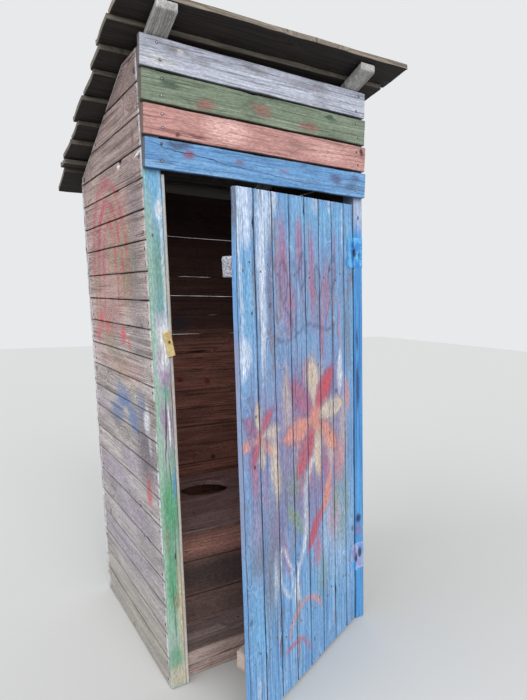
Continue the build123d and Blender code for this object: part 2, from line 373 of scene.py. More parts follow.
class Canvas:
    """Thin sprayed colours on upright points: each new one covers what lies below by its mask."""

    def __init__(self, across, up, wobble):
        self.across = across + drift(across, up, wobble)
        self.up = up + drift(up, across, wobble)
        self.colour = np.zeros((len(across), 3))
        self.cover = np.zeros(len(across))

    def lay(self, paint, strength, mask):
        """colour * (1 - share) + paint * share, where the share is mask * strength."""
        share = np.clip(mask * strength, 0, 1)
        self.colour = self.colour * (1 - share)[:, None] + np.outer(share, paint[:3])
        self.cover = 1 - (1 - self.cover) * (1 - share)

    def lay_ovals(self, groups):
        """Lays the soft ovals of each group (paint, softness, patches) one after the other."""
        for paint, soft, patches in groups:
            for x, z, half_x, half_z, strength, *turn in patches:
                self.lay(paint, strength, self.oval(soft, x, z, half_x, half_z, *turn))

    def turned(self, x, z, half_x, half_z, turn):
        """The points from (x, z), turned back and measured in half sizes."""
        cosine, sine = math.cos(math.radians(turn)), math.sin(math.radians(turn))
        right, up = self.across - x, self.up - z
        return (cosine * right + sine * up) / half_x, (cosine * up - sine * right) / half_z

    def oval(self, soft, x, z, half_x, half_z, turn=0):
        """1 within an oval, with a smooth step from 1 - soft to 1 + soft times its size."""
        u, v = self.turned(x, z, half_x, half_z, turn)
        return smooth_step((1 + soft - np.sqrt(u * u + v * v)) / (2 * soft))

    def leaf(self, soft, x, z, half_x, half_z, turn=0):
        """1 within a leaf, |u| + v^2 < 1, with the same smooth step."""
        u, v = self.turned(x, z, half_x, half_z, turn)
        return smooth_step((1 + soft - np.abs(u) - v * v) / (2 * soft))

    def leaf_line(self, line, x, z, half_x, half_z, turn=0):
        """exp(-((|u| + v^2 - 1) * half_x / line)^2), the outline of a leaf."""
        u, v = self.turned(x, z, half_x, half_z, turn)
        return np.exp(-((np.abs(u) + v * v - 1) * half_x / line) ** 2)

    def stroke(self, half_width, path):
        """exp(-(d / half_width)^2), with d the distance to the nearest leg of the path."""
        nearest = np.full(len(self.across), np.inf)
        for (x0, z0), (x1, z1) in zip(path[:-1], path[1:]):
            right, up = x1 - x0, z1 - z0
            share = ((self.across - x0) * right + (self.up - z0) * up) / (right * right + up * up)
            share = np.clip(share, 0, 1)
            away = np.hypot(self.across - x0 - share * right, self.up - z0 - share * up)
            nearest = np.minimum(nearest, away)
        return np.exp(-(nearest / half_width) ** 2)


# Shader values


class Socket:
    """A shader value. Sums, differences, products and powers of it add Math nodes."""

    def __init__(self, shader, output):
        self.shader = shader
        self.output = output

    def __add__(self, other):
        return self.shader.math("ADD", self, other)

    def __radd__(self, other):
        return self.shader.math("ADD", other, self)

    def __sub__(self, other):
        return self.shader.math("SUBTRACT", self, other)

    def __rsub__(self, other):
        return self.shader.math("SUBTRACT", other, self)

    def __mul__(self, other):
        return self.shader.math("MULTIPLY", self, other)

    def __rmul__(self, other):
        return self.shader.math("MULTIPLY", other, self)

    def __truediv__(self, other):
        return self.shader.math("DIVIDE", self, other)

    def __pow__(self, other):
        return self.shader.math("POWER", self, other)

    def at_least(self, other):
        """The larger of the two."""
        return self.shader.math("MAXIMUM", self, other)


class Shader:
    """The nodes of a material or the sky, with one method that adds any node and a few common ones."""

    def __init__(self, owner):
        self.owner = owner
        owner.use_nodes = True
        self.tree = owner.node_tree
        self.tree.nodes.clear()

    def node(self, kind, settings=None, sockets=None, output=0):
        """Adds a node of that type, with its settings set first, and returns one of its outputs."""
        made = self.tree.nodes.new(kind)
        for key, value in (settings or {}).items():
            setattr(made, key, value)
        for key, value in (sockets or {}).items():
            if isinstance(value, Socket):
                self.tree.links.new(value.output, made.inputs[key])
            else:
                made.inputs[key].default_value = value
        return Socket(self, made.outputs[output]) if made.outputs else None

    def math(self, operation, *operands):
        """A Math node on values and links."""
        return self.node("ShaderNodeMath", {"operation": operation}, dict(enumerate(operands)))

    def vector(self, operation, *operands):
        """A Vector Math node, whose LENGTH is a number."""
        output = 1 if operation == "LENGTH" else 0
        return self.node("ShaderNodeVectorMath", {"operation": operation}, dict(enumerate(operands)), output)

    def attribute(self, name, output="Vector"):
        """What the points of the mesh carry under that name."""
        return self.node("ShaderNodeAttribute", {"attribute_name": name}, output=output)

    def place(self):
        """Where a point lies, in the object's own coordinates."""
        return self.node("ShaderNodeTexCoord", output="Object")

    def split(self, vector):
        """The three numbers of a vector."""
        parts = self.tree.nodes.new("ShaderNodeSeparateXYZ")
        self.tree.links.new(vector.output, parts.inputs[0])
        return [Socket(self, out) for out in parts.outputs]

    def join(self, x, y, z=0.0):
        """A vector of three numbers."""
        return self.node("ShaderNodeCombineXYZ", None, {0: x, 1: y, 2: z})

    def noise(self, vector, scale=1.0, detail=2.0, roughness=0.5, colour=False):
        """Cloudy noise between 0 and 1, or three of them as a colour."""
        sockets = {"Vector": vector, "Scale": scale, "Detail": detail, "Roughness": roughness}
        return self.node("ShaderNodeTexNoise", None, sockets, output=1 if colour else 0)

    def step(self, value, low, high, to_low=0.0, to_high=1.0):
        """A smooth step from to_low at low to to_high at high."""
        sockets = {0: value, 1: low, 2: high, 3: to_low, 4: to_high}
        return self.node("ShaderNodeMapRange", {"interpolation_type": "SMOOTHSTEP"}, sockets)

    def mix(self, first, second, share, blend="MIX"):
        """A colour between the first, at share 0, and the second, at share 1."""
        settings = {"data_type": "RGBA", "blend_type": blend}
        return self.node("ShaderNodeMix", settings, {0: share, 6: first, 7: second}, output=2)

    def shaded(self, colour, shade):
        """The colour times a number."""
        return self.mix(colour, self.join(shade, shade, shade), 1.0, "MULTIPLY")

    def seen_directly(self):
        """1 for what the camera sees, also in a mirror or through glass, and 0 for bounced light."""
        seen = self.node("ShaderNodeLightPath", output="Is Camera Ray")
        for ray in ("Is Glossy Ray", "Is Transmission Ray"):
            seen = seen.at_least(self.node("ShaderNodeLightPath", output=ray))
        return seen

    def finish(self, colour, roughness, height=None, bump=0.5, depth=0.001, metallic=0.0, coat=0.0):
        """Ends the material in a Principled surface, with a bump from the height in metres."""
        sockets = {"Base Color": colour, "Roughness": roughness, "Metallic": metallic, "Coat Weight": coat}
        if height is not None:
            bump_sockets = {"Strength": bump, "Distance": depth, "Height": height}
            sockets["Normal"] = self.node("ShaderNodeBump", None, bump_sockets)
        surface = self.node("ShaderNodeBsdfPrincipled", None, sockets)
        self.node("ShaderNodeOutputMaterial", None, {"Surface": surface})
        return self.owner


def new_material(name):
    """An empty material as a shader."""
    return Shader(bpy.data.materials.new(name))


def rgb(red, green, blue):
    """A screen colour, 0 to 255, as linear light."""
    screen = np.array((red, green, blue)) / 255
    linear = np.where(screen <= 0.04045, screen / 12.92, ((screen + 0.055) / 1.055) ** 2.4)
    return (*linear.tolist(), 1.0)


# Wood

# Cells to the metre in which a knot may lie
KNOT_ALONG = 2.3
KNOT_ACROSS = 7.5


class Wood:
    """The grain of a board: colour, height and the masks that paint and dirt need."""

    def __init__(self, shader, pale, dark, deep, tone_range=0.26, knots=1.0):
        along, across, through = shader.split(shader.attribute("timber"))
        tone, self.rim, self.tip = shader.split(shader.attribute("facts"))

        def layer(sideways, along_scale, across_scale, roughness, detail=3):
            """Noise drawn out along the board, with so many patches to the metre along and across it."""
            place = shader.join(along * along_scale, sideways * across_scale, through * across_scale)
            return shader.noise(place, 1, detail, roughness)

        push = self.find_knots(shader, along, across, knots)
        slow = layer(across, 1.4, 9, 0.5, 2)
        bent = across + (slow - 0.5) * 0.028 + push
        distance = (bent * bent + through * through) ** 0.5
        self.rings = shader.math("SINE", distance * 1250 + slow * 4) * 0.5 + 0.5
        self.fibre = layer(bent, 14, 520, 0.6)
        self.strand = layer(bent, 3.1, 135, 0.62)
        self.streak = layer(bent, 1.7, 48, 0.58)
        self.cloud = layer(across, 4.5, 15, 0.6)
        self.grit = layer(across, 52, 175, 0.75)
        check_noise = shader.noise(shader.join(along * 2.6 + 9, bent * 95, through * 40), 1, 2, 0.5)
        self.check = shader.step(check_noise, 0.655, 0.70)
        body = (0.34 * self.streak + 0.34 * self.strand + 0.16 * self.fibre + 0.10 * self.rings
                + 0.26 * self.cloud)
        colour = shader.mix(dark, pale, shader.step(body, 0.47, 0.73))
        colour = shader.mix(colour, deep, self.check * 0.7)
        colour = shader.mix(colour, deep, self.core * 0.75)
        self.colour = shader.shaded(colour, tone * tone_range + (1 - tone_range * 0.5))
        self.height = (0.5 * self.fibre + 0.35 * self.rings + 0.5 * self.strand + 0.3 * self.streak
                       - 1.2 * self.check - 0.5 * self.core)

    def find_knots(self, shader, along, across, amount):
        """Sets the mask of the knots' cores, and returns how far each pushes the grain aside.

        A knot lies at the middle of some cells of a grid that is KNOT_ALONG by KNOT_ACROSS to the metre.
        """
        place = shader.join(along * KNOT_ALONG, across * KNOT_ACROSS)
        settings = {"voronoi_dimensions": "2D", "feature": "F1"}
        sockets = {"Vector": place, "Scale": 1.0, "Randomness": 1.0}
        centre = shader.node("ShaderNodeTexVoronoi", settings, sockets, output="Position")
        luck = shader.node("ShaderNodeTexVoronoi", settings, sockets, output="Color")
        chance = shader.split(luck)[0]
        aside, up, _ = shader.split(shader.vector("SUBTRACT", place, centre))
        off_along = aside / KNOT_ALONG
        off_across = up / KNOT_ACROSS
        radius = (chance - 0.5).at_least(0.0) * 0.030 * amount
        reach = (off_along * off_along * 0.8 + off_across * off_across) ** 0.5
        self.core = shader.step(reach, radius * 1.25, radius * 0.8)
        fall = shader.math("EXPONENT", off_along * off_along * -260 + off_across * off_across * -2200)
        return fall * radius * 90 * shader.math("SIGN", off_across)


def oval_marks(shader, flat, marks, soft):
    """Soft oval marks (x, z, half width, half height, turn, strength), of which the strongest counts."""
    mask = None
    for x, z, half_width, half_height, turn, strength in marks:
        sockets = {0: flat, 1: (x, z, 0), 2: (0, 0, math.radians(turn)), 3: (half_width, half_height, 1)}
        local = shader.node("ShaderNodeMapping", {"vector_type": "TEXTURE"}, sockets)
        one = shader.step(shader.vector("LENGTH", local), 1 + soft, 1 - soft, 0.0, strength)
        mask = one if mask is None else mask.at_least(one)
    return mask


def flat_place(shader, wobble=0.02, side_on=False):
    """Where a point lies on its wall: (sideways, height), with edges that a noise makes uneven."""
    x, y, z = shader.split(shader.attribute("spot"))
    across = y if side_on else x
    wave = shader.noise(shader.join(across * 9, z * 9), 1, 3, 0.6, colour=True)
    shift = shader.vector("SUBTRACT", wave, (0.5, 0.5, 0.5))
    shift = shader.vector("MULTIPLY", shift, (wobble * 2, wobble * 4, 0))
    return shader.vector("ADD", shader.join(across, z), shift)


def laid_on(shader, wood, colour, paint, mask, grip=1.8):
    """Lays a thin paint over a colour, thinner where the grain is open and darker in its valleys."""
    grain = (wood.strand - 0.5) * grip + (wood.fibre - 0.5) * (0.5 * grip) + 1
    paint = shader.shaded(paint, (wood.strand - 0.5) * 0.9 + (wood.grit - 0.5) * 0.8 + 1)
    return shader.mix(colour, paint, shader.math("MINIMUM", mask * grain, 1.0))


def marks_over(shader, wood, colour, groups, flat, soft=0.6):
    """Lays the marks of each group (paint, marks) over a board one after the other."""
    for paint, marks in groups:
        colour = laid_on(shader, wood, colour, paint, oval_marks(shader, flat, marks, soft))
    return colour


def sprayed(shader, wood, colour, grip=1.8):
    """Lays the sprayed colour that the points carry over the wood, thinner where the grain is open."""
    cover = shader.attribute("cover", "Fac")
    spread = cover.at_least(0.002)
    paint = shader.vector("DIVIDE", shader.attribute("spray"), shader.join(spread, spread, spread))
    return laid_on(shader, wood, colour, paint, cover * (1 + (wood.streak - 0.5) * 0.9), grip)


def gritty(shader, wood, colour, amount):
    """Breaks a smooth colour up with fine lighter and darker grains, drawn out along the board."""
    return shader.shaded(colour, (wood.grit - 0.5) * amount + 1)


def dirty_joints(shader, wood, colour, amount=0.6):
    """Darkens a narrow line along a board's long edges."""
    return shader.mix(colour, rgb(40, 34, 32), shader.step(wood.rim, 0.45, 0.95) * amount)


def brushed(shader, wood, deep, middle, pale):
    """Brushed paint in three tones that follow the strands of the wood."""
    colour = shader.mix(deep, middle, shader.step(wood.strand, 0.36, 0.50))
    return shader.mix(colour, pale, shader.step(0.6 * wood.strand + 0.4 * wood.streak, 0.50, 0.62) * 0.75)


def worn_paint(shader, wood, paint, cover):
    """Paint over bare wood: where the cover is weak and the grain is open, the wood shows through."""
    hold = cover + (wood.streak - 0.5) * 0.9 + (wood.strand - 0.5) * 0.6
    return shader.mix(wood.colour, paint, shader.step(hold, 0.28, 0.44))


# Weathered greys and the brown of wood that stays out of the rain
GREY_PALE = rgb(206, 197, 195)
GREY_DARK = rgb(122, 113, 111)
GREY_DEEP = rgb(56, 49, 47)
BROWN_PALE = rgb(178, 122, 107)
BROWN_DARK = rgb(98, 62, 54)
BROWN_DEEP = rgb(24, 16, 14)

# Spray paints
RED = rgb(202, 72, 78)
ROSE = rgb(178, 104, 128)
PEACH = rgb(226, 148, 122)
CREAM = rgb(222, 202, 178)
WHITE = rgb(226, 229, 238)
LILAC = rgb(146, 128, 168)
NAVY = rgb(70, 84, 128)
SAGE = rgb(134, 158, 132)

# Marks on the left wall: (paint, (y, z, half width, half height, turn, strength))
LEFT_WALL_MARKS = (
    (rgb(224, 226, 234), ((0.002, 2.043, 0.034, 0.0035, -8, 0.95), (0.228, 2.046, 0.018, 0.010, 0, 1.0))),
    (rgb(52, 44, 44), ((0.194, 0.670, 0.014, 0.006, 0, 0.9), (0.115, 0.553, 0.022, 0.006, 20, 0.9),
                       (0.628, 0.571, 0.012, 0.005, 0, 0.8), (0.176, 0.987, 0.008, 0.006, 0, 0.8))),
)


# Sprayed ovals under and over the arcs: (paint, softness, (y, z, half width, half height, strength))
LEFT_WALL_WASHES = (
    (rgb(132, 142, 110), 0.7, ((0.34, 1.78, 0.13, 0.16, 0.6), (0.20, 1.66, 0.10, 0.16, 0.7),
                               (0.50, 1.36, 0.07, 0.10, 0.7), (0.66, 1.56, 0.05, 0.16, 0.5),
                               (0.36, 1.24, 0.10, 0.05, 0.5))),
    (rgb(112, 104, 114), 0.7, ((0.08, 1.86, 0.07, 0.16, 0.45), (0.10, 1.52, 0.09, 0.20, 0.5),
                               (0.09, 0.92, 0.11, 0.13, 0.85), (0.42, 1.46, 0.06, 0.10, 0.4))),
    (rgb(180, 132, 128), 0.7, ((0.48, 1.82, 0.26, 0.17, 0.45), (0.44, 1.55, 0.26, 0.13, 0.4),
                               (0.22, 1.86, 0.08, 0.10, 0.35), (0.56, 1.42, 0.20, 0.09, 0.5),
                               (0.30, 1.24, 0.20, 0.05, 0.4), (0.60, 1.26, 0.16, 0.05, 0.3))),
)
LEFT_WALL_SPOTS = (
    (rgb(200, 86, 98), 0.6, ((0.62, 1.43, 0.034, 0.0408, 0.7), (0.50, 1.41, 0.026, 0.0312, 0.6),
                             (0.30, 1.375, 0.034, 0.0408, 0.7), (0.69, 1.36, 0.030, 0.036, 0.7),
                             (0.22, 1.345, 0.022, 0.0264, 0.45))),
    (rgb(96, 122, 166), 0.7, ((0.33, 1.09, 0.11, 0.060, 0.8, 18), (0.22, 1.02, 0.06, 0.045, 0.7),
                              (0.46, 1.03, 0.08, 0.045, 0.65), (0.12, 1.11, 0.05, 0.05, 0.5))),
    (CREAM, 0.7, ((0.32, 1.055, 0.035, 0.020, 0.45),)),
    (WHITE, 0.6, ((0.06, 1.06, 0.030, 0.045, 0.8, 10), (0.03, 0.97, 0.018, 0.045, 0.35))),
    (rgb(186, 92, 98), 0.6, ((0.072, 0.77, 0.026, 0.065, 0.7),)),
    (rgb(110, 72, 62), 0.6, ((0.041, 2.108, 0.014, 0.035, 0.6),)),
    (rgb(152, 138, 162), 0.7, ((0.60, 0.72, 0.28, 0.06, 0.5), (0.30, 0.60, 0.25, 0.07, 0.45),
                               (0.30, 0.84, 0.12, 0.05, 0.5), (0.45, 0.38, 0.30, 0.06, 0.4),
                               (0.66, 1.02, 0.10, 0.06, 0.35))),
)
# Nested arcs (half width, strength), and the drips that run from them (y, top, bottom, strength)
LEFT_WALL_ARCS = ((0.105, 0.75), (0.185, 0.9), (0.262, 0.75))
LEFT_WALL_DRIPS = ((0.325, 1.62, 1.45, 0.7), (0.535, 1.62, 1.38, 0.7), (0.618, 1.63, 1.48, 0.7),
                   (0.245, 1.63, 1.50, 0.6), (0.690, 1.64, 1.40, 0.6), (0.170, 1.64, 1.55, 0.5))


def spray_left_wall(points):
    """Arcs with drips high up, spots below them, a blue patch by the front and washes further down."""
    canvas = Canvas(points[:, 1], points[:, 2], 0.012)
    canvas.lay_ovals(LEFT_WALL_WASHES)
    uneven = 0.65 + drift(3 * points[:, 1], 3 * points[:, 2], 0.5)
    for half_x, strength in LEFT_WALL_ARCS:
        arc = canvas.stroke(0.022, arc_path(0.43, 1.60, half_x, 0.15 + half_x, 8, 172))
        canvas.lay(rgb(176, 78, 98), strength, arc * uneven)
    for y, top, bottom, strength in LEFT_WALL_DRIPS:
        drip = wave_path((y, top), (y + 0.006, bottom), 2, 0.002)
        canvas.lay(rgb(182, 88, 102), strength, canvas.stroke(0.008, drip))
    canvas.lay_ovals(LEFT_WALL_SPOTS)
    return canvas


BACK_WALL_INSIDE_MARKS = (
    (rgb(128, 44, 40), ((-0.049, 1.085, 0.016, 0.014, 0, 0.9), (0.114, 1.068, 0.018, 0.016, 0, 0.9))),
    (rgb(150, 92, 78), ((0.03, 1.175, 0.14, 0.010, 2, 0.7),)),
    (rgb(14, 10, 9), ((0.065, 1.237, 0.07, 0.006, 3, 1.0), (0.05, 1.135, 0.05, 0.004, 0, 0.8))),
    (rgb(46, 52, 66), ((-0.033, 1.391, 0.05, 0.04, 0, 0.7),)),
)


def weathered_material(name, spray_marks=(), inside_marks=()):
    """Weathered grey planks outside, under a spray if they have its marks, and red-brown wood inside that
    painted shade darkens higher up.
    """
    shader = new_material(name)
    wood = Wood(shader, GREY_PALE, GREY_DARK, GREY_DEEP)
    height = shader.split(shader.attribute("spot"))[2]
    # Darker and pinker from 1.1 m up, with painted shade under the eaves darkening the top further; paler and
    # bluer below 1.2 m.
    colour = shader.mix(wood.colour, (0.88, 0.75, 0.72, 1), shader.step(height, 1.1, 1.9), "MULTIPLY")
    colour = shader.mix(colour, (0.72, 0.68, 0.68, 1), shader.step(height, 2.05, 2.35), "MULTIPLY")
    colour = shader.mix(colour, rgb(176, 178, 188), shader.step(height, 1.2, 0.5) * 0.25)
    low_green = shader.step(height, 0.45, 0.05) * (0.3 + 0.6 * wood.cloud)
    colour = shader.mix(colour, rgb(140, 140, 112), low_green * 0.6)
    if spray_marks:
        colour = sprayed(shader, wood, colour)
        colour = marks_over(shader, wood, colour, spray_marks, flat_place(shader, 0.01, side_on=True))
    worn_end = shader.step(wood.tip, 0.45, 0.9) * shader.step(wood.cloud, 0.36, 0.6)
    colour = shader.mix(colour, rgb(220, 220, 230), worn_end * 0.8)
    colour = dirty_joints(shader, wood, gritty(shader, wood, colour, 1.7))
    inside = Wood(shader, BROWN_PALE, BROWN_DARK, BROWN_DEEP)
    # Painted shade inside the hut: the brown darkens from 1.2 m up, and towards near black from 1.7 m up.
    brown = shader.mix(inside.colour, rgb(54, 38, 35), shader.step(height, 1.22, 1.42) * 0.8)
    brown = shader.mix(brown, rgb(24, 19, 18), shader.step(height, 1.7, 2.1) * 0.7)
    if inside_marks:
        brown = marks_over(shader, inside, brown, inside_marks, flat_place(shader, 0.006))
    brown = dirty_joints(shader, wood, gritty(shader, wood, brown, 1.8))
    side = shader.attribute("side", "Fac")
    colour = shader.mix(colour, brown, shader.step(side, 0.92, 0.98))
    return shader.finish(colour, 0.88, wood.height, 0.55, 0.0012)


def header_material(name, tones, cover, stains):
    """A painted board over the doorway: brushed paint, worn along the grain, with soft stains."""
    shader = new_material(name)
    wood = Wood(shader, rgb(186, 182, 184), rgb(124, 118, 120), GREY_DEEP, 0.0, knots=0.0)
    paint = brushed(shader, wood, *tones)
    paint = shader.mix(paint, tones[0], shader.step(wood.rings * wood.strand, 0.34, 0.56) * 0.25)
    colour = worn_paint(shader, wood, paint, cover + (wood.cloud - 0.5) * 0.9)
    colour = shader.mix(colour, GREY_DEEP, shader.step(wood.cloud + 0.5 * wood.strand, 0.82, 1.0) * 0.45)
    colour = shader.mix(colour, GREY_DEEP, wood.check * 0.4)
    colour = marks_over(shader, wood, colour, stains, flat_place(shader, 0.012), 0.6)
    colour = dirty_joints(shader, wood, gritty(shader, wood, colour, 1.5), 0.5)
    end_grain = shader.step(wood.tip, 0.90, 0.95)
    colour = shader.mix(colour, rgb(84, 70, 68), end_grain * 0.85)
    return shader.finish(colour, 0.8, wood.height, 0.5, 0.0011)


def roof_material(name, pale, dark):
    """Roof boards: grey and mossy on top, near-black brown underneath as painted shade, dull at the cut
    edges.
    """
    shader = new_material(name)
    wood = Wood(shader, pale, dark, rgb(34, 30, 27))
    side = shader.attribute("side", "Fac")
    # Painted shade: the undersides are a brown darkened to near black.
    under = shader.mix(rgb(54, 47, 43), rgb(28, 25, 24), shader.step(wood.strand, 0.38, 0.62))
    colour = shader.mix(under, wood.colour, shader.step(side, 0.03, 0.12))
    moss = shader.step(wood.cloud, 0.52, 0.68) * shader.step(side, 0.9, 0.98)
    colour = shader.mix(colour, rgb(108, 114, 80), moss * 0.5)
    colour = dirty_joints(shader, wood, gritty(shader, wood, colour, 0.9), 0.15)
    return shader.finish(colour, 0.9, wood.height, 0.6, 0.0013)


def plain_wood_material(name, pale, dark, deep, dirt=0.5, marks=(), knots=0.8):
    """Bare wood in two tones with its checks and knots, and marks where there are any."""
    shader = new_material(name)
    wood = Wood(shader, pale, dark, deep, knots=knots)
    colour = wood.colour
    if marks:
        colour = marks_over(shader, wood, colour, marks, flat_place(shader, 0.006))
    colour = dirty_joints(shader, wood, gritty(shader, wood, colour, 1.7), dirt)
    return shader.finish(colour, 0.86, wood.height, 0.5, 0.0012)


def ledge_material():
    """The door's ledges: bare wood, with the upper one's end grain speckled dark and grey."""
    shader = new_material("ledge_timber")
    wood = Wood(shader, rgb(190, 180, 178), rgb(134, 126, 128), GREY_DEEP)
    place = shader.place()
    speckle = shader.step(shader.noise(place, 260, 3, 0.7), 0.42, 0.60)
    speckled = shader.mix(rgb(92, 94, 108), rgb(196, 196, 204), speckle)
    plain = shader.mix(rgb(150, 132, 124), rgb(186, 168, 160), wood.streak)
    end_grain = shader.mix(plain, speckled, shader.step(shader.split(place)[2], 0.9, 1.1))
    colour = shader.mix(wood.colour, end_grain, shader.step(wood.tip, 0.80, 0.93))
    colour = dirty_joints(shader, wood, colour, 0.1)
    return shader.finish(colour, 0.86, wood.height, 0.5, 0.0012)


POST_SPRAYS = (
    (rgb(112, 172, 212), ((-0.466, 1.94, 0.06, 0.13, 1.0), (-0.452, 1.74, 0.03, 0.10, 0.8),
                          (-0.456, 1.48, 0.03, 0.05, 0.5))),
    (rgb(150, 180, 182), ((-0.485, 1.60, 0.020, 0.26, 0.75), (-0.478, 1.82, 0.012, 0.10, 0.5))),
    (rgb(104, 154, 138), ((-0.464, 1.66, 0.020, 0.11, 0.8), (-0.450, 1.20, 0.022, 0.05, 0.75),
                          (-0.448, 0.95, 0.010, 0.05, 0.7))),
    (rgb(112, 164, 168), ((-0.461, 1.51, 0.020, 0.09, 0.75),)),
    (rgb(196, 186, 206), ((-0.458, 1.30, 0.040, 0.07, 0.7), (-0.47, 1.44, 0.03, 0.04, 0.6))),
    (rgb(222, 226, 232), ((-0.448, 1.85, 0.012, 0.03, 0.9), (-0.452, 1.39, 0.028, 0.06, 0.95),
                          (-0.446, 1.62, 0.006, 0.3, 0.6), (-0.456, 1.31, 0.014, 0.04, 0.8))),
    (rgb(156, 136, 164), ((-0.450, 1.245, 0.024, 0.035, 0.8), (-0.462, 1.08, 0.030, 0.06, 0.8),
                          (-0.445, 1.02, 0.02, 0.06, 0.6), (-0.47, 1.34, 0.012, 0.03, 0.5))),
    (rgb(88, 158, 118), ((-0.462, 0.74, 0.05, 0.14, 0.85), (-0.472, 0.46, 0.030, 0.17, 0.8),
                         (-0.470, 0.13, 0.032, 0.05, 0.8))),
    (rgb(150, 192, 168), ((-0.497, 1.2, 0.010, 0.9, 0.7), (-0.462, 0.27, 0.05, 0.07, 0.6))),
    (rgb(96, 148, 190), ((-0.441, 0.84, 0.008, 0.06, 0.8),)),
    (rgb(204, 184, 156), ((-0.442, 0.33, 0.013, 0.20, 0.8), (-0.46, 0.05, 0.05, 0.04, 0.6))),
    (rgb(146, 138, 116), ((-0.463, 0.36, 0.012, 0.030, 0.7), (-0.485, 0.62, 0.008, 0.06, 0.5))),
)
POST_MARKS = (
    (rgb(204, 96, 140), ((-0.4365, 1.17, 0.004, 0.05, 0, 0.9),)),
    (rgb(232, 234, 232), ((-0.453, 1.06, 0.0035, 0.07, 2, 1.0),)),
    (rgb(30, 30, 32), ((-0.467, 1.04, 0.0022, 0.13, -2, 1.0), (-0.455, 0.545, 0.003, 0.012, 0, 0.9),
                       (-0.478, 1.76, 0.003, 0.006, 0, 0.8), (-0.459, 0.90, 0.0015, 0.07, 1, 0.8))),
)


def spray_left_post(points):
    """Soft patches of blue, teal, white, lilac and green, one above the other."""
    canvas = Canvas(points[:, 0], points[:, 2], 0.004)
    canvas.lay_ovals((paint, 0.6, patches) for paint, patches in POST_SPRAYS)
    return canvas


def left_post_material():
    """The left post and its strip: sprayed blue, teal, white, lilac and green from top to bottom."""
    shader = new_material("painted_left_post")
    wood = Wood(shader, rgb(206, 212, 206), rgb(158, 168, 162), GREY_DEEP, 0.0, knots=0.4)
    colour = shader.mix(wood.colour, rgb(160, 188, 182), 0.45)
    colour = sprayed(shader, wood, colour)
    colour = marks_over(shader, wood, colour, POST_MARKS, flat_place(shader, 0.006), 0.5)
    x, _, height = shader.split(shader.attribute("spot"))
    # Painted shade: the post's outer strip above 2 m, behind the header boards, is darkened to a dark brown.
    shade_behind_headers = shader.step(height, 1.99, 2.0) * shader.step(x, -0.470, -0.490)
    colour = shader.mix(colour, rgb(86, 74, 72), shade_behind_headers * 0.85)
    strip = shader.step(x, -0.4358, -0.4350)
    colour = shader.mix(colour, shader.mix(wood.colour, rgb(204, 186, 176), 0.6), strip * 0.85)
    colour = shader.mix(colour, GREY_DEEP, wood.check * 0.4)
    colour = dirty_joints(shader, wood, gritty(shader, wood, colour, 1.1), 0.25)
    return shader.finish(colour, 0.78, wood.height, 0.45, 0.0010)


def right_post_material():
    """The right post: blue paint with navy grain, pale and lilac at its upper end."""
    shader = new_material("painted_right_post")
    wood = Wood(shader, rgb(196, 198, 206), rgb(132, 140, 156), GREY_DEEP, 0.0)
    blue = brushed(shader, wood, rgb(62, 118, 186), rgb(78, 148, 210), rgb(100, 166, 220))
    colour = worn_paint(shader, wood, blue, shader.step(wood.cloud, 0.0, 0.6, 1.1, 1.3))
    marks = ((rgb(176, 186, 210), ((0.475, 1.94, 0.05, 0.08, 0, 0.8), (0.456, 1.74, 0.008, 0.06, 0, 0.8))),
             (rgb(130, 120, 160), ((0.47, 0.45, 0.02, 0.03, 0, 0.7),)),
             (rgb(40, 54, 100), ((0.468, 0.51, 0.015, 0.02, 0, 0.9), (0.47, 1.15, 0.010, 0.10, 0, 0.8),
                                 (0.468, 1.36, 0.006, 0.05, 0, 0.7), (0.476, 1.90, 0.004, 0.010, 0, 0.9))),
             (rgb(60, 170, 232), ((0.462, 1.75, 0.02, 0.07, 0, 0.9), (0.462, 0.32, 0.02, 0.07, 0, 0.8))))
    colour = marks_over(shader, wood, colour, marks, flat_place(shader, 0.008))
    colour = dirty_joints(shader, wood, gritty(shader, wood, colour, 0.7), 0.3)
    return shader.finish(colour, 0.75, wood.height, 0.45, 0.0010)


# Marks on the door: cyan from the hinges' paint, dark navy strokes beside the hinge leaves that are painted
# shadow of the leaves' edges, and small black marks.
DOOR_MARKS = (
    (rgb(72, 172, 232), ((0.424, 1.75, 0.022, 0.075, 0, 0.8), (0.386, 1.705, 0.024, 0.018, 0, 0.85),
                         (0.400, 1.768, 0.014, 0.020, 0, 0.8), (0.412, 0.285, 0.024, 0.024, 0, 0.9))),
    (rgb(22, 84, 128), ((0.368, 1.698, 0.0035, 0.020, 4, 0.9), (0.384, 1.697, 0.0035, 0.022, 0, 0.9),
                        (0.387, 1.764, 0.003, 0.022, 8, 0.85), (0.397, 0.350, 0.003, 0.040, -14, 0.8))),
    (rgb(26, 26, 34), ((0.247, 0.244, 0.0035, 0.02, -6, 1.0), (-0.335, 1.49, 0.004, 0.006, 0, 0.9),
                       (-0.33, 1.14, 0.004, 0.007, 0, 0.9), (0.115, 1.28, 0.004, 0.006, 0, 0.9),
                       (-0.345, 0.965, 0.006, 0.008, 0, 0.8), (0.205, 0.98, 0.003, 0.005, 0, 0.9))),
)

